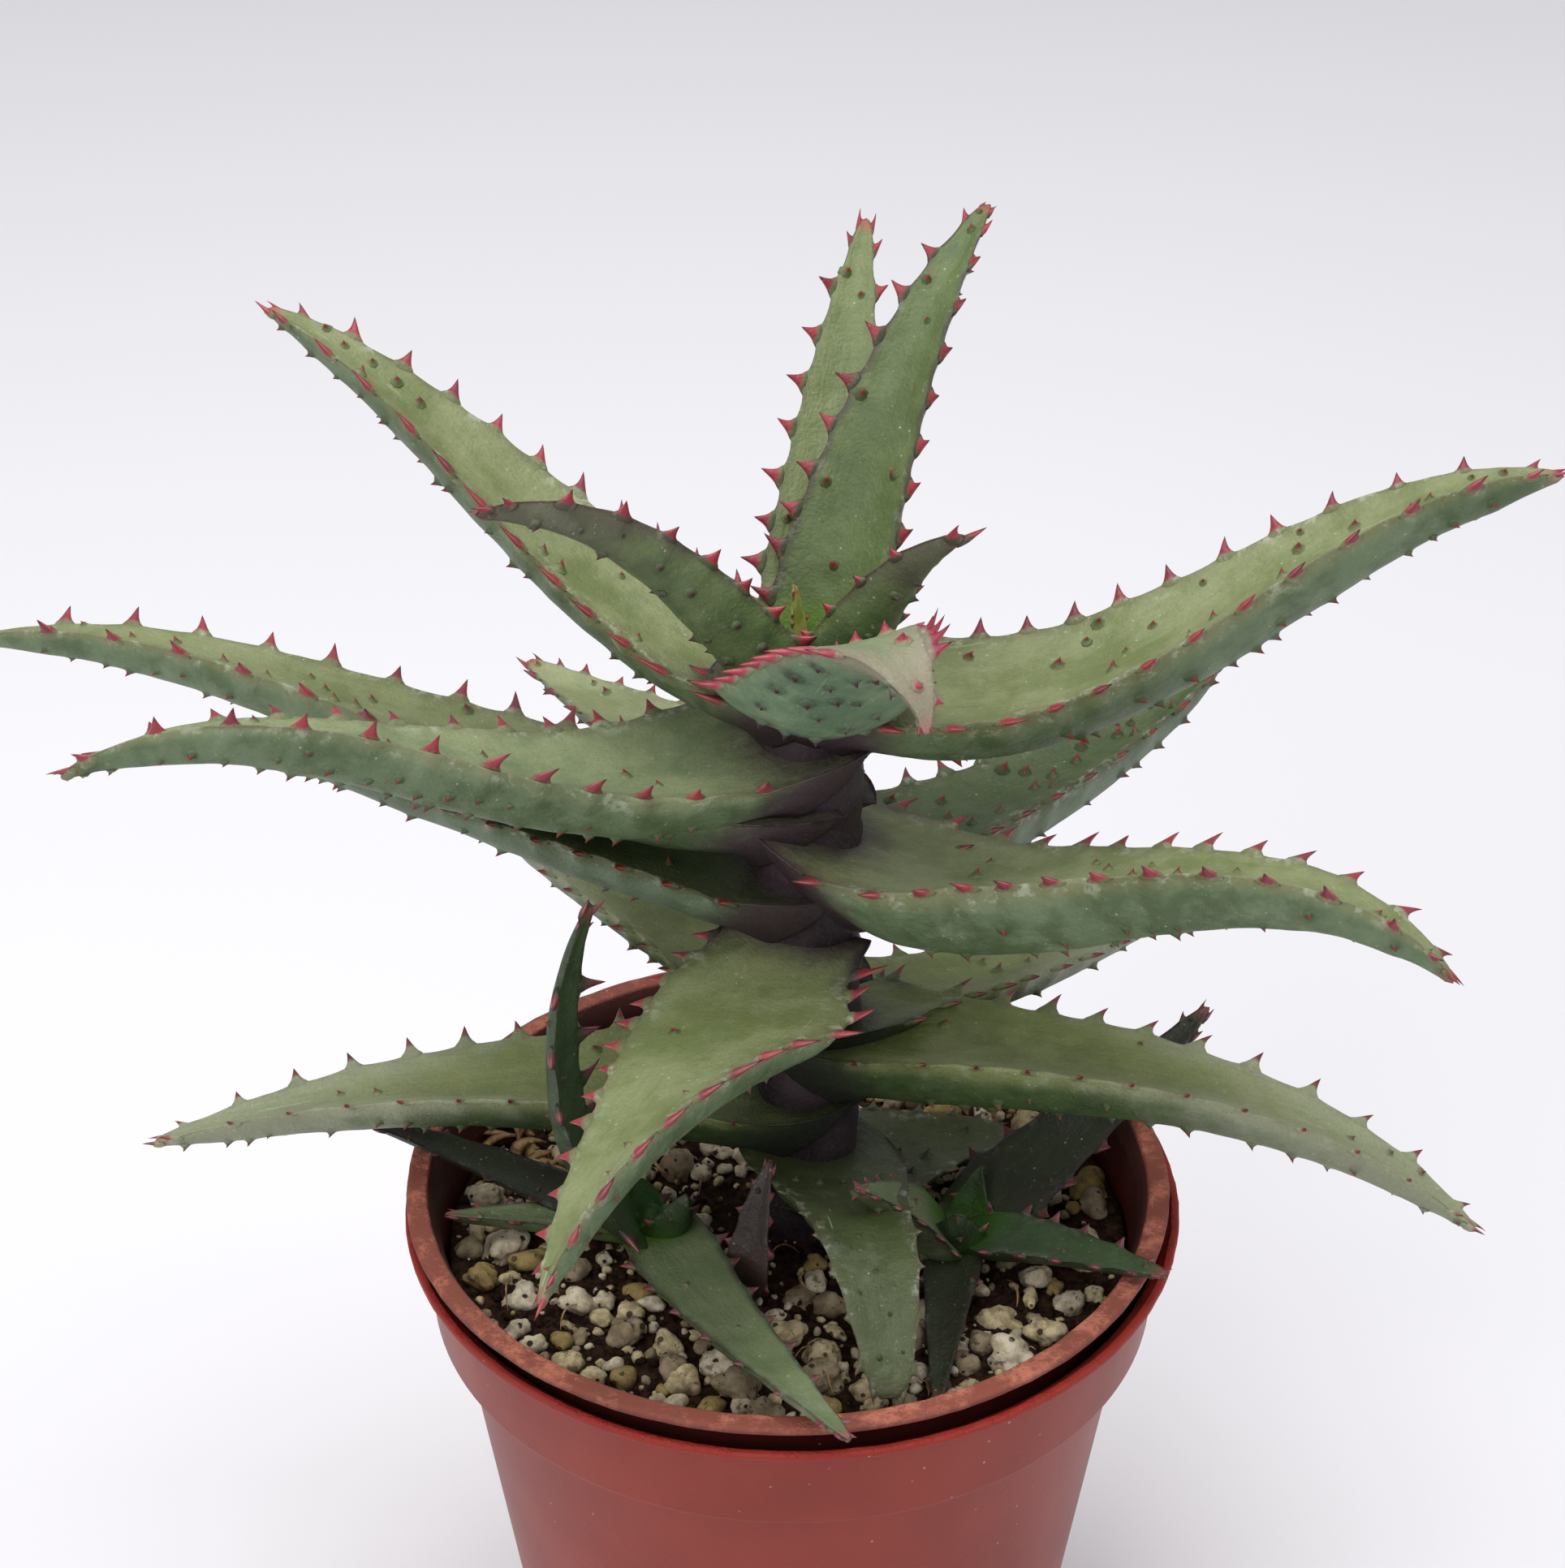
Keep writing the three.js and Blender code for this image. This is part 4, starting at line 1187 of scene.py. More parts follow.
def main_leaves() -> dict[str, Leaf]:
    """Return the twenty leaves of the main stem, lowest first.

    Most rows began as a least-squares fit of this leaf shape to points picked on the photograph's
    leaf margins, made by a separate program and rounded. Many values were then changed by eye.

    Returns:
        The leaves by name.
    """
    leaves = [
        Leaf(92, 21, -2, (2, -3, -8), (0, 5), 23, 14.5, 4.5, (0.1, 0.3), 6, taper=0.45,
             skin=OLD, top=5, under=8, prickle=1.2, tooth=0.8),
        Leaf(99, 287, -13, (15, 1, -72), (-11, 0), 46.5, 17, 5, (0.05, 0.15), 8, taper=0.45,
             skin=OLD, top=12, under=14, prickle=0.6, tooth=0.4),
        Leaf(107.5, 181, -1, (6, -6, -22), (-3, 10), 83, 21, 8, (0.18, 0.35), 12, skin=LOW,
             top=3, under=30, tooth=1.05, sides=(1.0, 0.6), upward=(0.1, 0.5), lean=(0.02, 0.1)),
        Leaf(117.5, 347, 0, (1, -9, -44), (-6, -5), 87, 20, 9, (0.13, 0.45), 13, skin=LOW,
             top=5, under=34, tooth=1.05, sides=(0.6, 1.0), upward=(0.4, 0.1), lean=(0.1, 0.35)),
        Leaf(118, 38, 0, (-14, -9, 0), (-10, 4), 64, 17.5, 7, (0.15, 0.3), 11, skin=LOW, top=14,
             under=20),
        Leaf(123, 139, -2, (3, 2, 8), (0, 0), 58, 17, 7, (0.1, 0.3), 11, skin=LOW, top=6, under=20),
        Leaf(134, 244.8, -6, (-10.5, -3, -58), (-3, 40), 66, 29.5, 8, (-0.05, 0.35), 14, top=5,
             under=30, lean=(0.2, -0.9), prickle=0.9, loose=1.5, taper=0.9, sides=(0.95, 1.15),
             upward=(0, 0.1), wrap=13, neck=0.46, bulge=(0.0, 3.3)),
        Leaf(140.5, 168, -3, (7, 10, 5), (2, -3), 72, 19, 7.5, (0.18, 0.36), 12, skin=SHADED,
             top=10, under=26),
        Leaf(142, 35, 2, (-4, 5, 24), (-4, -6), 65, 20, 9.5, (0.16, 0.44), 11, skin=SHADED,
             top=20, under=34, prickle=1.1),
        Leaf(147, 336, -1, (-17, 17, -48), (-15, -21), 81, 28, 10, (0.13, 0.41), 14, top=12,
             under=28, lean=(-0.4, 0.4), prickle=0.9, loose=2.5, sides=(1.1, 1.15),
             upward=(0.15, 0.1), climb=(1.5, 0.0), sag=(2.4, -0.4)),
        Leaf(153.5, 168, -1, (-9, 13.5, -19), (3, 18), 109, 19.5, 8.5, (0.06, 0.42), 14, top=16,
             under=44, lean=(0.1, 0.1), prickle=0.9, sides=(1.35, 1.1), upward=(0.1, 0.5)),
        Leaf(151, 134, 0, (2, -3, 6), (0, -6), 48, 17.5, 6.5, (0.08, 0.32), 10, skin=SUNLIT,
             top=8, tooth=0.75),
        Leaf(161.5, 195, 3, (-20, 21, -24), (-3, 33), 88, 24, 8, (0.16, 0.39), 13, skin=SOFT_LIT,
             top=6, under=56, lean=(0.1, -0.3), loose=1.3, sides=(1.0, 1.3), upward=(0.1, 0.8)),
        Leaf(170, 6, 0, (-27, 30, -3), (3, -8), 93, 23, 8.3, (0.11, 0.6), 14, top=18, under=44,
             lean=(0.55, 0.15), prickle=1.1, sides=(1.1, 0.95), upward=(0.15, 0.3), full=0.42),
        Leaf(171.5, 278, 30, (20, 40, -95), (-10, 6), 44, 30, 5.5, (0, 0.2), 16, core=6,
             skin=PALE_TIP, top=0, under=38, prickle=1.0, lean=(-0.9, -0.3), tooth_end=0.72,
             taper=0.95, spacing=3.6, sides=(1.0, 0.5),
             knots=((0.5, 0.05, 1.4), (0.55, 0.5, 1.5), (0.7, 0.5, 1.3), (0.42, -0.1, 1.3),
                    (0.86, 0.1, 0.8)),
             tips=((13.2, 1, 2.6, -1.6), (12.2, 1, 3.4, -1.0), (11.2, 1, 3.6, -0.6),
                   (9.8, 1, 3.0, -0.2), (4.0, 1, 1.2, 0.3), (1.2, -1, 0.8, 0.8),
                   (1.0, 1, 0.9, 0.8))),
        Leaf(170.5, 156, -3, (6, 35, 13), (-5, 5), 80, 21.5, 7.5, (0.1, 0.43), 13, core=6, top=10,
             under=34, lean=(0.3, 0.95), tooth=1.1, upward=(0.1, 0.3)),
        Leaf(172, 81, -2, (52, 48, 36), (0, 5), 58, 16.5, 4, (0.1, 0.36), 10, core=4, skin=BRIGHT,
             top=3, under=10, tooth=1.1),
        Leaf(173.5, 62, -4, (60, 48, 23), (-2, 0), 62, 17, 4.5, (0.27, 0.4), 11, core=4,
             skin=FRESH, top=8, under=12, tooth=1.1),
        Leaf(173, 208, 1, (49, 43, 3), (30, 40), 52, 13.5, 4.5, (0.1, 0.45), 9, core=4,
             skin=ROLLED, top=4, under=16, lean=(0.4, 0.1), tooth=1.1),
        Leaf(172.5, 316, -3, (57, 54, 31), (-32, -29), 35, 12, 3, (0.1, 0.36), 6, core=3.5,
             skin=ROLLED, top=2, under=6, tooth=0.8,
             tips=((3.5, 1, 1.6, 0.5), (1.2, -1, 2.6, 0.9), (1.2, 1, 3.0, 1.2))),
    ]
    for index, leaf in enumerate(leaves):
        leaf.seed = 100 + index * 13
    return {f"leaf_{index + 1:02d}": leaf for index, leaf in enumerate(leaves)}


@dataclass
class Offset:
    """A young plant beside the stem: a short stem with its own leaves, in one piece.

    foot and top are the heights between which its own stem stands, and core is that stem's radius.
    """

    name: str
    x: float
    y: float
    foot: float
    top: float
    core: float
    seed: int
    leaves: list[Leaf]

    def __post_init__(self) -> None:
        """Stand every leaf on this offset's axis, with its own seed."""
        self.leaves = [
            replace(leaf, x=self.x, y=self.y, core=self.core, seed=self.seed + 17 * index)
            for index, leaf in enumerate(self.leaves)
        ]

    def build(self) -> bpy.types.Object:
        """Build the offset in place of its solid."""
        form = Form()
        skins = list(dict.fromkeys(leaf.skin for leaf in self.leaves))
        core, top = self.core, self.top
        profile = [
            (0, self.foot), (core * 0.7, self.foot), (core + 0.6, 82.5), (core + 0.4, top - 2),
            (core * 0.4, top + 1), (0, top + 1.6),
        ]
        form.slot = len(skins) - 1
        turned(form, profile, 20, (self.x, self.y), looks=lambda radius, height: {"root": 0.6})
        for leaf in self.leaves:
            form.slot = skins.index(leaf.skin)
            leaf.grow(form)
        made = form.piece(self.name + "_plant", [skin_material(skin) for skin in skins])
        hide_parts(self.name)
        return made


def offsets() -> list[Offset]:
    """Return the two offsets and the very young shoot.

    Their outer leaves began as rounded fits, as those of the main stem did. The small ones in their
    hearts were added.

    Returns:
        The offsets, with the shoot last.
    """
    few = {"top": 2, "under": 4, "prickle": 0.6, "tooth": 0.8}
    dusky = few | {"skin": OFFSET_DUSK, "tooth": 0.5}
    green = few | {"skin": OFFSET_GREEN}
    return [
        Offset("offset_left", -19, -3.5, 76, 91, 2.5, 500, [
            Leaf(88.5, 166, 0, (22, 16, 12), (0, -8), 41, 9.5, 2, (0.1, 0.3), 6, **dusky),
            Leaf(90, 184, 0, (14, 4, 6), (1, 7), 25.5, 8.5, 2.5, (0.1, 0.35), 5, skin=OFFSET,
                 **few),
            Leaf(91, 290, 10, (3, 12, 8), (5, -5), 60, 13, 3.5, (0.1, 0.3), 8, skin=OFFSET, **few),
            Leaf(91, 232, -62, (49, 84, 110), (-30, -46), 59, 12.5, 2.5, (0.1, 0.36), 8,
                 taper=0.8, **green | {"tooth": 1.9},
                 tips=((3.6, -1, 1.2, 1.2), (3.2, 1, 1.2, 1.2), (1.2, -1, 2.4, 1.4),
                       (1.0, 1, 2.4, 1.4))),
            Leaf(90, 150, 0, (36, 50, 66), (0, 0), 12, 11, 2, (0.3, 0.6), 3, tips=(), **green),
            Leaf(90, 310, 0, (46, 62, 78), (0, 0), 10, 10, 2, (0.3, 0.6), 3, tips=(), **green),
        ]),
        Offset("offset_right", 22.5, -4.5, 76, 90, 2.5, 531, [
            Leaf(90, 321, -1, (22, 15, 14), (2, 8), 32, 10.5, 2.5, (0.15, 0.3), 6,
                 **green | {"tooth": 1.1, "upward": (0.4, 0.4)}),
            Leaf(89.5, 35, 1, (28, 22, 33), (3, 0), 45, 15, 2.5, (0.1, 0.3), 7,
                 **dusky | {"tooth": 0.9}),
            Leaf(90, 229, 0, (56, 44, 38), (-32, -20), 27.5, 13.5, 4.5, (0.1, 0.3), 6, skin=OFFSET,
                 taper=0.95, **few | {"under": 9, "prickle": 0.9, "tooth": 0.6}),
            Leaf(90, 262, 2, (2, -5, -3), (1, 3), 32, 9, 2, (0.1, 0.35), 4, **dusky),
            Leaf(88, 60, 0, (62, 66, 72), (0, 0), 8.5, 7, 1.5, (0.2, 0.5), 3, tips=(), **green),
            Leaf(89, 265, 0, (44, 60, 76), (0, 0), 10, 9.5, 2, (0.3, 0.6), 3, tips=(), **green),
        ]),
        Offset("shoot_middle", -7, -16.8, 78, 88.5, 1.6, 562, [
            Leaf(88.5, 60, 0, (76, 70, 50), (0, 0), 18, 7, 2, (0.2, 0.4), 4, skin=SHOOT, **few),
        ]),
    ]


@dataclass
class MainStem:
    """The upright stem, ringed by old leaf bases, with a bud of tiny leaves in the crown.

    buds gives those leaves: azimuth, slope and length.
    """

    foot: float = 60
    first_ring: float = 94
    shoulder: float = 164
    ring_step: float = 9
    sides: int = 48
    bud_foot: float = 171.5
    buds: tuple[Triple, ...] = (
        (130, 80, 10.5), (262, 74, 7), (20, 72, 6), (190, 64, 6), (320, 66, 5),
    )

    def build(self) -> list[bpy.types.Object]:
        """Build the stem and the crown bud in place of the stem's solid."""
        profile = [(0, self.foot), (6.0, self.foot), (6.7, 84.5)]
        height = self.first_ring
        while height < self.shoulder - 6:
            profile += [(STEM_RADIUS - 0.1, height), (STEM_RADIUS - 0.6, height + 1.2)]
            profile += [(STEM_RADIUS - 0.4, height + 4)]
            height += self.ring_step
        profile += [(6.5, self.shoulder), (4.0, self.shoulder + 8), (1.4, self.shoulder + 11)]
        profile += [(0, self.shoulder + 12)]
        form = Form()

        def wobble(place: Vector, radius: float) -> Vector:
            """Move a point of the stem a little in or out."""
            axis = Vector((STEM_X, STEM_Y, place.z))
            uneven = 0.5 * noise.noise(place / 5.0) - 0.25
            return axis + (place - axis) * (1 + uneven / max(radius, 1))

        turned(form, profile, self.sides, (STEM_X, STEM_Y), wobble)
        stem = form.piece("stem_upright", [StemSkin().material()])
        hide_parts("stem")
        crown = Form()
        for index, (azimuth, rise, length) in enumerate(self.buds):
            Leaf(self.bud_foot, azimuth, 0, (rise, rise + 4, rise + 6), (0, 0), length, 2.8, 1.0,
                 (0.3, 0.6), 4, core=1.2, top=0, under=0, seed=900 + index).grow(crown)
        bud = crown.piece("crown_bud", [BudSkin().material()])
        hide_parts("stem")
        return [stem, bud]


# Soil and stones

KNOB_SHARPNESS = 18.0
KNOB_PLACES, KNOB_GIRTHS, HEART_GIRTH = (0.42, 0.7), (0.26, 0.46), 0.7
SQUAT = 0.85


class Stone(Enum):
    """The kinds of pumice in the mix."""

    CREAM = CREAM
    WHITE = WHITE
    OCHRE = OCHRE
    GREY = GREY


@dataclass
class SoilBed:
    """The soil with its stones, crumbs and husk, filling the inner pot.

    outside gives the radius and height of the bed's corners, top first. landmarks are the larger
    stones: x, y, size and kind. Most were picked on the photograph, projected onto the soil by a
    separate program and rounded. stone_sizes holds the least size of the others and how much
    larger they get. shares says how often each kind is drawn, closeness how near two stones may
    stand as a share of their radii, stem_room how far they keep off the stem, and leaves_from the
    height from which no leaf can touch them. Husk lies within husk_x and husk_y. The seeds are
    those of the crumbs, the stones and the husk.
    """

    x: float = -0.6
    level: float = 85.2
    floor: float = 4.5
    sides: int = 150
    edge_radius: int = 46
    outside: tuple[Pair, ...] = ((46.1, 80.0), (43.0, 77.5), (31.9, 4.6))
    reach: float = 45.0
    stone_count: int = 560
    stone_tries: int = 9000
    stone_sizes: Pair = (1.4, 5.2)
    shares: tuple[int, ...] = (6, 4, 1, 4)
    closeness: float = 0.74
    stem_room: float = 10
    leaves_from: float = 97
    chip_count: int = 420
    chip_sizes: Pair = (0.3, 0.7)
    crumb_count: int = 900
    crumb_sizes: Pair = (0.35, 1.3)
    husk_count: int = 16
    husk_x: Pair = (-44, -36)
    husk_y: Pair = (9, 24)
    root_count: int = 26
    seeds: tuple[int, int, int] = (77, 2024, 31)
    landmarks: tuple[tuple[float, float, float, Stone], ...] = (
        (27, -18, 8.4, Stone.CREAM), (28.5, -27, 6.4, Stone.WHITE), (21, -24, 4.8, Stone.WHITE),
        (33.5, -22, 5.4, Stone.CREAM), (37, -16, 4.6, Stone.WHITE), (-28, -16.5, 4.6, Stone.WHITE),
        (-25, -16, 4.2, Stone.WHITE), (-36, -15, 4.6, Stone.WHITE),
        (-41.5, -11.5, 5.2, Stone.OCHRE), (-44, -4.5, 4.6, Stone.GREY),
        (-22, -22.5, 5.6, Stone.GREY), (-29, -28, 4.6, Stone.CREAM), (-26, -31, 4.4, Stone.CREAM),
        (-14, -32.5, 5.0, Stone.CREAM), (-10.5, -36.5, 4.2, Stone.OCHRE),
        (-37, 12, 5.0, Stone.CREAM), (-37, 17.5, 3.8, Stone.OCHRE), (-32, 15, 4.2, Stone.CREAM),
        (-16, 13, 6.2, Stone.GREY), (22, 25, 6.0, Stone.OCHRE), (28, 25, 5.0, Stone.WHITE),
        (33.5, 21.5, 5.4, Stone.CREAM), (41, 9, 6.0, Stone.OCHRE), (-1, -22.5, 5.2, Stone.CREAM),
        (4, -37, 5.0, Stone.OCHRE), (20.5, -35, 4.4, Stone.WHITE), (-34, -24.5, 3.4, Stone.WHITE),
        (-30, -23.5, 3.6, Stone.OCHRE), (16, 23, 4.4, Stone.CREAM), (-6, -36.5, 3.6, Stone.WHITE),
    )

    def surface_height(self, x: float, y: float) -> float:
        """Return the soil's height at a place."""
        place = Vector((x, y, 0))
        rough = 0.7 * noise.noise(place / 7.0) + 0.45 * noise.noise(place / 2.3)
        return self.level + rough + 0.2 * noise.noise(place / 0.9)

    def scatter(self, draws: random.Random, reach: float) -> Pair:
        """Draw a place on the soil, evenly spread up to this reach from its axis."""
        radius, angle = reach * math.sqrt(draws.random()), draws.uniform(0, FULL_TURN)
        return self.x + radius * math.cos(angle), radius * math.sin(angle)

    def add_grain(
        self, form: Form, draws: random.Random, place: Pair, size: float, lift: float
    ) -> None:
        """Add a small lump that lies on the soil.

        Args:
            form: The form to add to.
            draws: The random numbers in use.
            place: Its x and y.
            size: Its mean radius.
            lift: How far its middle stands off the soil, as a share of its size.
        """
        spot = Vector((*place, self.surface_height(*place) + lift * size))
        self.add_lump(form, spot, size, draws, 1, 3)

    def build(self, leaves: list[Leaf]) -> list[bpy.types.Object]:
        """Build the bed, its stones and its husk in place of the soil's solid.

        Args:
            leaves: The plants' leaves, which no stone pokes through.

        Returns:
            The pieces.
        """
        pieces = [self.build_bed(), self.build_stones(leaves), self.build_husk()]
        for piece in pieces:
            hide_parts("soil")
        return pieces

    def build_bed(self) -> bpy.types.Object:
        """Build the soil's body with an uneven top and scattered crumbs."""
        form = Form()
        rings = [self.ring(form, radius, height) for radius, height in self.outside]
        rings.reverse()
        rings += [self.ring(form, radius) for radius in range(self.edge_radius, 0, -1)]
        form.loft(rings)
        for ring, height in ((rings[0], self.floor), (rings[-1], self.surface_height(self.x, 0))):
            form.fan(ring, form.point(Vector((self.x, 0, height))))
        draws = random.Random(self.seeds[0])
        for _ in range(self.crumb_count):
            place = self.scatter(draws, self.reach)
            self.add_grain(form, draws, place, draws.uniform(*self.crumb_sizes), 0.1)
        return form.piece("soil_bed", [DarkMix().material()])

    def ring(self, form: Form, radius: float, height: float | None = None) -> list[int]:
        """Add a ring of the bed, on its uneven top where no height is given."""
        ring = []
        for k in range(self.sides):
            angle = FULL_TURN * k / self.sides
            x, y = self.x + radius * math.cos(angle), radius * math.sin(angle)
            level = self.surface_height(x, y) if height is None else height
            ring.append(form.point(Vector((x, y, level))))
        return ring

    def build_stones(self, leaves: list[Leaf]) -> bpy.types.Object:
        """Build the pumice: the larger stones, then others where there is room, then chips.

        Args:
            leaves: The plants' leaves, which no stone pokes through.

        Returns:
            The piece.
        """
        form = Form()
        kinds = list(Stone)
        draws = random.Random(self.seeds[1])
        placed: list[Triple] = []
        undersides = (
            leaf.place(i / 12, u, leaf.under_drop(i / 12, u))
            for leaf in leaves
            for i in range(13)
            for u in (-0.8, 0.0, 0.8)
        )
        low = [place for place in undersides if place.z < self.leaves_from]

        def add(x: float, y: float, size: float, kind: Stone) -> None:
            """Add a stone, sunk a little and kept under the leaves."""
            form.slot = kinds.index(kind)
            radius = size / 2
            near = [p.z for p in low if math.hypot(p.x - x, p.y - y) < radius + 3.0]
            ceiling = min(near, default=math.inf) - 1.02 * radius
            spot = Vector((x, y, min(self.surface_height(x, y) + 0.3 * radius, ceiling)))
            finer = 4 if size > 4.8 else 3 if size > 2.4 else 2
            self.add_lump(form, spot, 1.08 * radius, draws, finer, 7 + round(size))
            placed.append((x, y, radius))

        for x, y, size, kind in self.landmarks:
            add(x, y, size, kind)
        least, more = self.stone_sizes
        for _ in range(self.stone_tries):
            if len(placed) >= self.stone_count:
                break
            size = least + more * draws.random() ** 1.8
            half = size / 2
            x, y = self.scatter(draws, self.reach + 0.2 - half)
            kind = draws.choices(kinds, self.shares)[0]
            if any(math.hypot(x - a, y - b) < self.closeness * (half + c) for a, b, c in placed):
                continue
            if math.hypot(x - STEM_X, y - STEM_Y) < self.stem_room + half:
                continue
            add(x, y, size, kind)
        for _ in range(self.chip_count):
            place = self.scatter(draws, self.reach)
            size = draws.uniform(*self.chip_sizes)
            form.slot = draws.randrange(len(kinds))
            self.add_grain(form, draws, place, size, 0.6)
        return form.piece("pumice_grit", [kind.value.material() for kind in kinds])

    @staticmethod
    def add_lump(
        form: Form, centre: Vector, radius: float, draws: random.Random, finer: int, knobs: int
    ) -> None:
        """Add one stone, grown together from rounded knobs.

        Args:
            form: The form to add to.
            centre: Its middle.
            radius: Its mean radius.
            draws: The random numbers in use.
            finer: How finely it is divided.
            knobs: How many knobs it has.
        """
        ball = bmesh.new()
        bmesh.ops.create_icosphere(ball, subdivisions=finer, radius=1.0)
        stretch = Vector([draws.uniform(*ends) for ends in ((1.0, 1.4), (0.9, 1.15), (0.75, 1))])
        spin = Quaternion([draws.gauss(0, 1) for _ in range(4)])
        spin.normalize()
        shift = Vector([draws.uniform(0, 90) for _ in range(3)])
        grown = [(Vector(), HEART_GIRTH)]
        for _ in range(knobs):
            away = Vector([draws.gauss(0, 1) for _ in range(3)]).normalized()
            grown.append((away * draws.uniform(*KNOB_PLACES), draws.uniform(*KNOB_GIRTHS)))
        start = len(form.points)
        for vertex in ball.verts:
            way = vertex.co.copy()
            bulges = 0.0
            for middle, girth in grown:
                ahead = middle.dot(way)
                inside = ahead**2 - middle.length_squared + girth**2
                if inside > 0:
                    bulges += math.exp(KNOB_SHARPNESS * (ahead + math.sqrt(inside)))
            swell = math.log(bulges) / KNOB_SHARPNESS
            swell += 0.07 * noise.noise(way * 3.0 + shift) + 0.04 * noise.noise(way * 8.0 + shift)
            offset = way * (swell * radius) * stretch
            offset.rotate(spin)
            offset.z *= SQUAT
            # Darker towards the bottom and in the hollows between the knobs.
            stain = 0.4 - 0.6 * offset.z / radius - 2.2 * (swell - 0.85)
            form.point(centre + offset, stain=min(max(stain, 0.0), 1.0))
        for polygon in ball.faces:
            form.add_face(*(start + v.index for v in polygon.verts))
        ball.free()

    def build_husk(self) -> bpy.types.Object:
        """Build curled strips of dry husk at the left back and a few old roots."""
        form = Form()
        draws = random.Random(self.seeds[2])
        for _ in range(self.husk_count):
            x, y = draws.uniform(*self.husk_x), draws.uniform(*self.husk_y)
            if math.hypot(x - self.x, y) > self.reach - 2:
                x *= 0.9
            self.add_strip(form, draws, x, y, draws.uniform(4, 9), draws.uniform(0.5, 1.1))
        for _ in range(self.root_count):
            x, y = self.scatter(draws, self.reach - 3)
            self.add_strip(form, draws, x, y, draws.uniform(3, 7), draws.uniform(0.12, 0.3))
        return form.piece("husk_strips", [HuskFibre().material()])

    def add_strip(
        self, form: Form, draws: random.Random, x: float, y: float, length: float, half: float
    ) -> None:
        """Add one curled strip of fibre lying on the soil.

        Args:
            form: The form to add to.
            draws: The random numbers in use.
            x: Where it starts.
            y: The same, in depth.
            length: How long it is.
            half: Half its greatest width.
        """
        heading, curl = draws.uniform(0, FULL_TURN), draws.uniform(-0.5, 0.5)
        arch, twist = draws.uniform(0.5, 1.8), draws.uniform(-1.2, 1.2)
        rings = []
        steps = 9
        place = Vector((x, y, 0))
        for i in range(steps + 1):
            s = i / steps
            place = place + Vector((math.cos(heading), math.sin(heading), 0)) * (length / steps)
            heading += curl * 0.5
            height = self.surface_height(x, y) + 1.1 + arch * math.sin(math.pi * s)
            side = Vector((-math.sin(heading), math.cos(heading), twist * (s - 0.5))).normalized()
            middle = Vector((place.x, place.y, height))
            width = half * (1 - 0.75 * abs(2 * s - 1) ** 2)
            up = Vector((0, 0, 0.14))
            corners = (side * width, up, -side * width, -up)
            rings.append([form.point(middle + corner) for corner in corners])
        form.loft(rings)
        for ring in (rings[0], rings[-1]):
            middle = sum((form.points[i] for i in ring), Vector()) / 4
            form.fan(ring, form.point(middle))


# Pots


@dataclass
class Pot:
    """A turned nursery pot with drain holes in its floor.

    lip is the rim's height, faded how far the worn rim reaches down, wall the inner wall's greatest
    radius and soiled how much near-black painted shade that wall's upper part takes, down to the
    soil. What lies beyond rim_from belongs to the rim. The drain holes stand on a ring, the first of
    them turned by hole_turn.
    """

    name: str
    finish: PotPlastic
    slot: str
    profile: list[Pair]
    centre: Pair
    hole_turn: float
    hole_height: float
    lip: float
    faded: float
    wall: float
    painted_wall_shade: float
    sides: int = 160
    rim_from: float = 47
    holes: int = 5
    hole_radius: float = 3.5
    hole_ring: float = 21

    def build(self) -> bpy.types.Object:
        """Build the pot in place of its solid."""
        form = Form()

        def wobble(place: Vector, radius: float) -> Vector:
            """Move a point of the worn lip a little inwards."""
            if radius < self.rim_from:
                return place
            uneven = 0.16 * noise.noise(place / 3.0) + 0.14 * noise.noise(place / 0.9)
            axis = Vector((self.centre[0], self.centre[1], place.z))
            worn = max(0.0, 1 - abs(place.z - self.lip) / 2.4)
            return axis + (place - axis) * (1 - worn * (0.16 + uneven) / radius)

        def looks(radius: float, height: float) -> dict[str, float]:
            """Return how worn the plastic is and how much painted shade its inner wall takes."""
            worn = 1 - (self.lip - height) / self.faded if radius > self.rim_from else 0.0
            inside = radius < self.wall and self.lip - 11 < height < self.lip - 0.3
            return {"wear": max(0.0, min(1.0, worn)), "stain": self.painted_wall_shade if inside else 0.0}

        turned(form, self.profile, self.sides, self.centre, wobble, looks)
        pot = form.piece(self.name + "_fine", [self.finish.material()])
        self.drill(pot)
        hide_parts(self.name)
        return pot

    def drill(self, pot: bpy.types.Object) -> None:
        """Cut the round drain holes through the floor."""
        cutter = bmesh.new()
        radius = self.hole_radius * MM
        for i in range(self.holes):
            made = bmesh.ops.create_cone(
                cutter, cap_ends=True, segments=24, radius1=radius, radius2=radius,
                depth=2 * self.hole_height * MM,
            )
            angle = self.hole_turn + FULL_TURN * i / self.holes
            x = (self.centre[0] + self.hole_ring * math.cos(angle)) * MM
            y = self.hole_ring * math.sin(angle) * MM
            bmesh.ops.translate(cutter, verts=made["verts"], vec=(x, y, 0))
        mesh = bpy.data.meshes.new("drills")
        cutter.to_mesh(mesh)
        cutter.free()
        drills = add_object("drills", mesh)
        cut = pot.modifiers.new("drain_holes", "BOOLEAN")
        cut.object = drills
        cut.operation = "DIFFERENCE"
        cut.solver = "EXACT"
        bpy.context.view_layer.update()
        shape = pot.evaluated_get(bpy.context.evaluated_depsgraph_get())
        drilled = bpy.data.meshes.new_from_object(shape)
        pot.modifiers.clear()
        pot.data = drilled
        bpy.data.objects.remove(drills)


CORNER_STEPS = 4


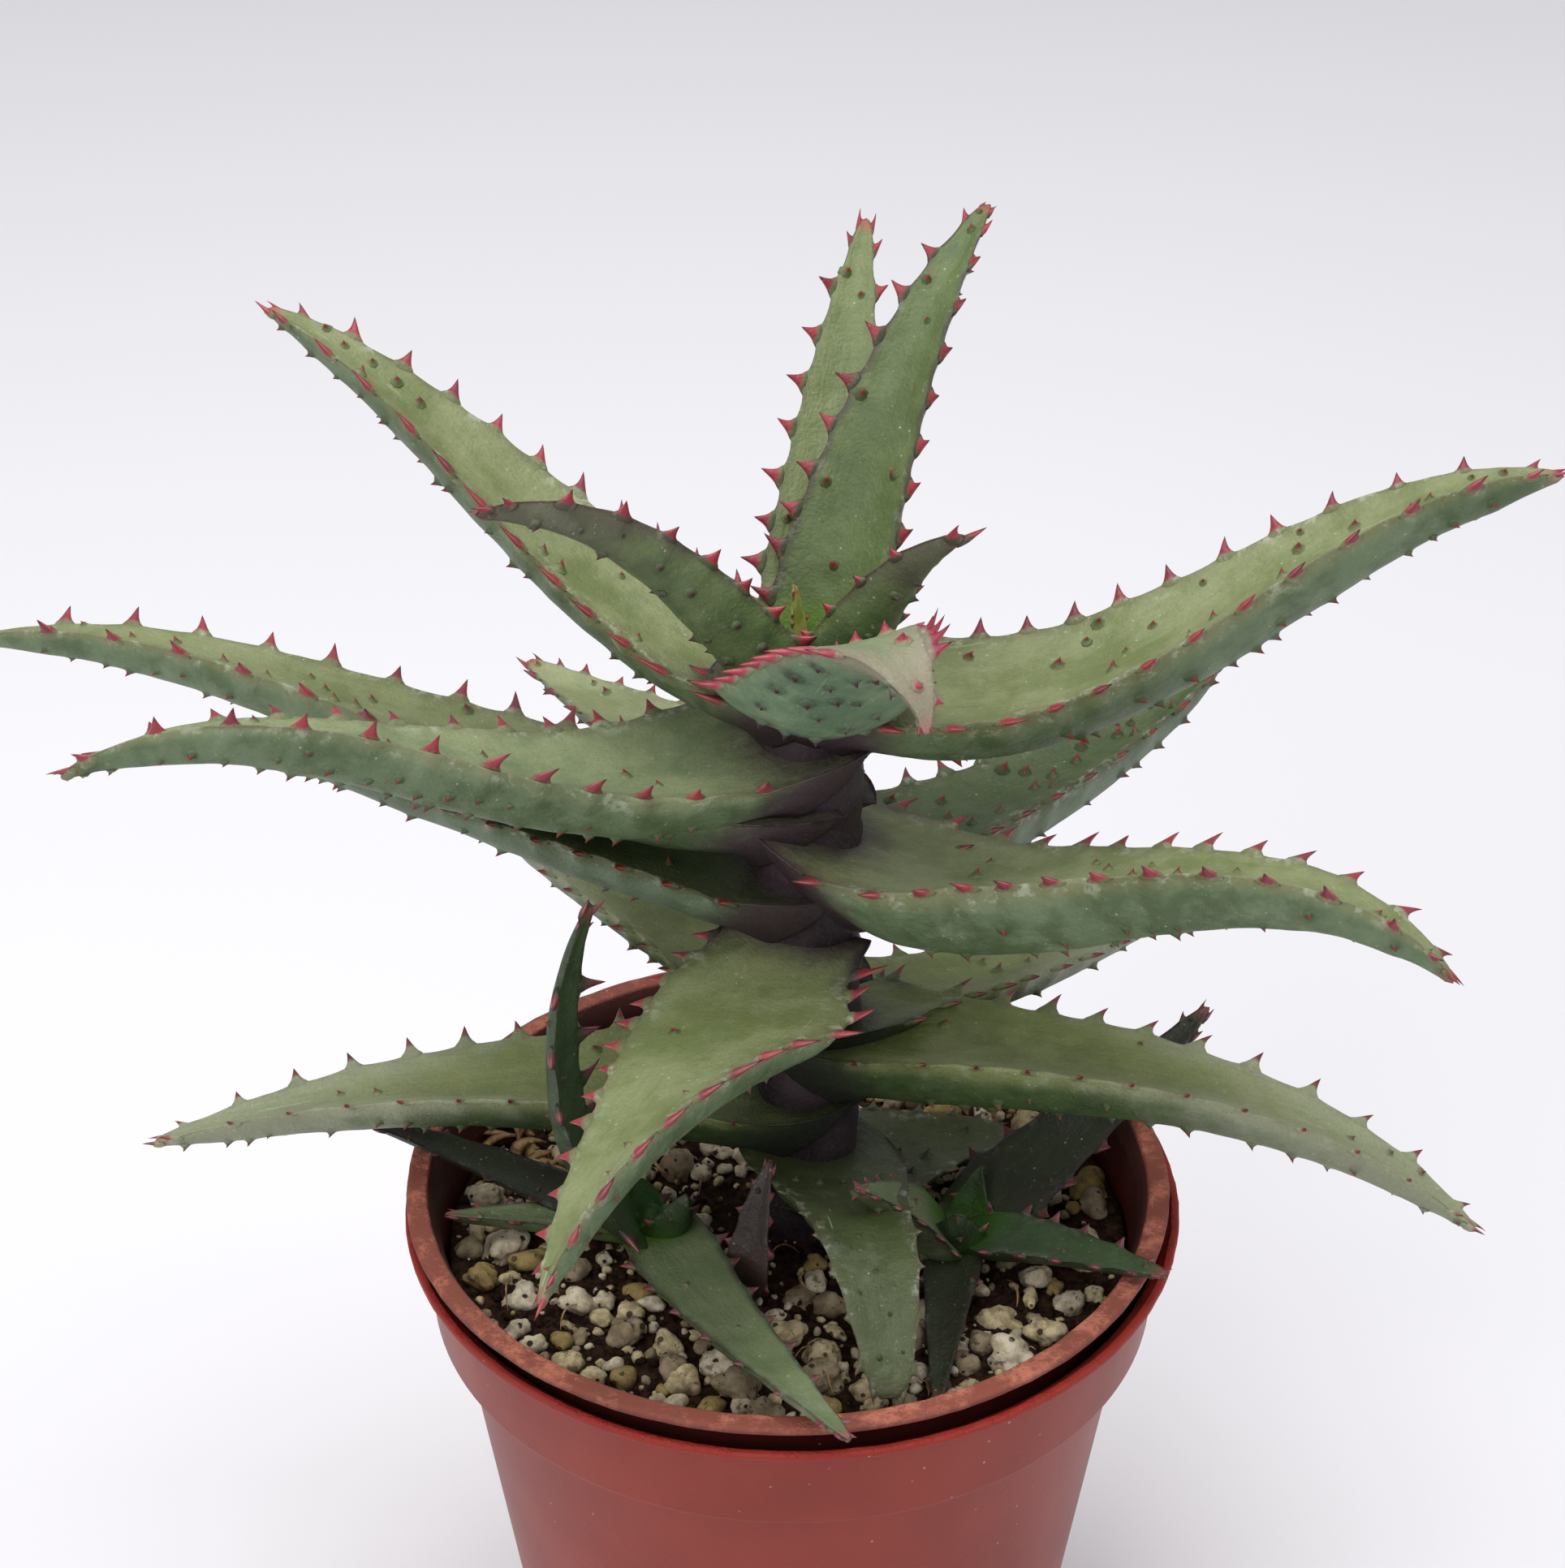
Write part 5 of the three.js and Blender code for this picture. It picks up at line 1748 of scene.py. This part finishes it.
def rounded(points: list[Triple]) -> list[Pair]:
    """Round the corners of a profile.

    Args:
        points: Radius, height and corner radius of each corner.

    Returns:
        Radius and height pairs with each corner replaced by a short curve.
    """
    profile = []
    for index, (x, z, corner) in enumerate(points):
        if corner == 0 or index in (0, len(points) - 1):
            profile.append((x, z))
            continue
        here = Vector((x, z))
        before = Vector(points[index - 1][:2]) - here
        after = Vector(points[index + 1][:2]) - here
        start = here + before.normalized() * min(corner, before.length * 0.45)
        end = here + after.normalized() * min(corner, after.length * 0.45)
        for step in range(CORNER_STEPS + 1):
            t = step / CORNER_STEPS
            spot = start * (1 - t) ** 2 + here * (2 * t * (1 - t)) + end * t**2
            profile.append((spot.x, spot.y))
    return profile


def outer_pot() -> Pot:
    """Return the outer pot, its collar stepped in under a thin lip."""
    profile = rounded([
        (0, 0, 0), (34.6, 0, 0.8), (35.2, 1.5, 0.5), (46.0, 76.5, 0.6), (49.1, 77.6, 0.6),
        (50.2, 90.2, 0.3), (52.3, 90.9, 0.15), (52.5, 91.2, 0.1), (52.5, 91.8, 0.15),
        (52.2, 92.0, 0.15), (51.5, 92.0, 0.2), (51.2, 91.5, 0.3), (49.8, 90.6, 0.5),
        (48.2, 77.2, 0.5), (45.1, 76.0, 0.5), (34.1, 1.2, 0.8), (0, 1.2, 0),
    ])
    return Pot(
        "pot_outer", OUTER_PLASTIC, "outer_pot", profile, (0, 0), hole_turn=0.3, hole_height=4,
        lip=92, faded=1.6, wall=0, painted_wall_shade=0,
    )


def inner_pot() -> Pot:
    """Return the inner pot, with a flat faded rim that stands above the outer lip."""
    profile = rounded([
        (0, 3.4, 0), (28.0, 3.4, 0.2), (28.6, 1.2, 0.2), (32.2, 1.2, 0.3), (33, 3.4, 0.5),
        (44, 77.5, 0.5), (47.1, 79.5, 0.5), (48.5, 92.6, 0.4), (49.1, 94.1, 0.3),
        (51.3, 94.3, 0.15), (51.6, 94.6, 0.1), (51.6, 95.1, 0.1), (51.2, 95.4, 0.2),
        (48.9, 95.4, 0.3), (48.6, 94.9, 0.1), (47.4, 92.4, 0.8), (46.2, 79.2, 0.5),
        (43.1, 78.0, 0.5), (32.1, 4.5, 0.6), (0, 4.5, 0),
    ])
    return Pot(
        "pot_inner", INNER_PLASTIC, "inner_pot", profile, (-0.6, 0), hole_turn=0.9, hole_height=8,
        lip=95.4, faded=1.1, wall=48.7, painted_wall_shade=0.8,
    )


# Studio


@dataclass(frozen=True)
class Studio:
    """The pale floor, the soft lights and the camera.

    The camera's place is in millimetres and its pitch in degrees downwards. Both were fitted to the
    outlines of the two rims in the photograph by a separate program. The focal length is in
    pixels of the photograph, which is frame_pixels high. The floor, the lights and the height they
    aim at are in metres, and each light has its name, place, side and watts.
    """

    camera_place: Triple = (-1.31, -367.32, 379.8)
    camera_pitch: float = 31.26
    focal_pixels: float = 4200.0
    frame_pixels: float = 1932.0
    film: float = 36.0
    near_clip: float = 0.01
    floor_reach: float = 6.0
    aim_height: float = 0.12
    air: str = "#eeeef2"
    air_strength: float = 0.52
    lights: tuple[tuple[str, Triple, float, float], ...] = (
        ("softbox_above", (-0.1, 0.0, 1.1), 0.9, 9.4),
        ("softbox_front", (-0.7, -1.1, 0.9), 0.9, 8.6),
        ("softbox_right", (1.2, -0.3, 0.8), 0.8, 3.0),
    )

    def aim_camera(self) -> None:
        """Stand the camera where the photograph was taken from."""
        data = bpy.data.cameras.new("camera")
        data.sensor_width = self.film
        data.lens = self.film * self.focal_pixels / self.frame_pixels
        data.clip_start = self.near_clip
        camera = add_object("camera", data)
        camera.location = Vector(self.camera_place) * MM
        camera.rotation_euler = (math.radians(90 - self.camera_pitch), 0, 0)
        bpy.context.scene.camera = camera

    def lay_floor(self) -> None:
        """Lay a wide pale floor that isn't part of the plant."""
        mesh = bpy.data.meshes.new("floor")
        reach = self.floor_reach
        corners = [(-reach, -reach, 0), (reach, -reach, 0), (reach, reach, 0), (-reach, reach, 0)]
        mesh.from_pydata(corners, [], [(0, 1, 2, 3)])
        r = Recipe("studio_floor")
        tone = r.mix(r.cloud(3, 1.0), "#e5e4e7", "#e7e6e9")
        mesh.materials.append(r.surface(tone, 0.9))
        floor = add_object("studio_floor", mesh)
        floor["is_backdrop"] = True

    def hang_light(self, name: str, place: Triple, size: float, power: float) -> None:
        """Hang a soft square light that faces the plant.

        Args:
            name: The light's name.
            place: Where it hangs, in metres.
            size: Its side in metres.
            power: Its power in watts.
        """
        data = bpy.data.lights.new(name, "AREA")
        data.size = size
        data.energy = power
        light = add_object(name, data)
        light.location = place
        aim = Vector((0, 0, self.aim_height)) - Vector(place)
        light.rotation_euler = aim.to_track_quat("-Z", "Y").to_euler()

    def build(self) -> None:
        """Light the scene and set plain colours for its sky."""
        self.lay_floor()
        for light in self.lights:
            self.hang_light(*light)
        world = bpy.data.worlds.new("studio_air")
        world.use_nodes = True
        air = world.node_tree.nodes["Background"]
        air.inputs["Color"].default_value = paint(self.air)
        air.inputs["Strength"].default_value = self.air_strength
        bpy.context.scene.world = world
        bpy.context.scene.view_settings.view_transform = "Standard"


LOW_LEAF = 110


def main() -> None:
    """Build the camera, the pots, the soil and the plant, then write how large it all is."""
    logging.basicConfig(level=logging.INFO, format="%(message)s")
    cad_low, cad_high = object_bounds()
    Form.stay_inside(cad_low, cad_high)
    studio = Studio()
    studio.aim_camera()
    leaves = main_leaves()
    young = offsets()
    pieces = [outer_pot().build(), inner_pot().build()]
    near_soil = [leaf for leaf in leaves.values() if leaf.height < LOW_LEAF]
    near_soil += [leaf for offset in young for leaf in offset.leaves]
    pieces += SoilBed().build(near_soil)
    pieces += MainStem().build()
    for name, leaf in leaves.items():
        form = Form()
        leaf.grow(form)
        made = form.piece(name + "_fine", [skin_material(leaf.skin)])
        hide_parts(name)
        pieces.append(made)
    pieces += [offset.build() for offset in young]
    for piece in pieces:
        log.info("%s: %d faces", piece.name, len(piece.data.polygons))
    studio.build()


if __name__ == "__main__":
    main()
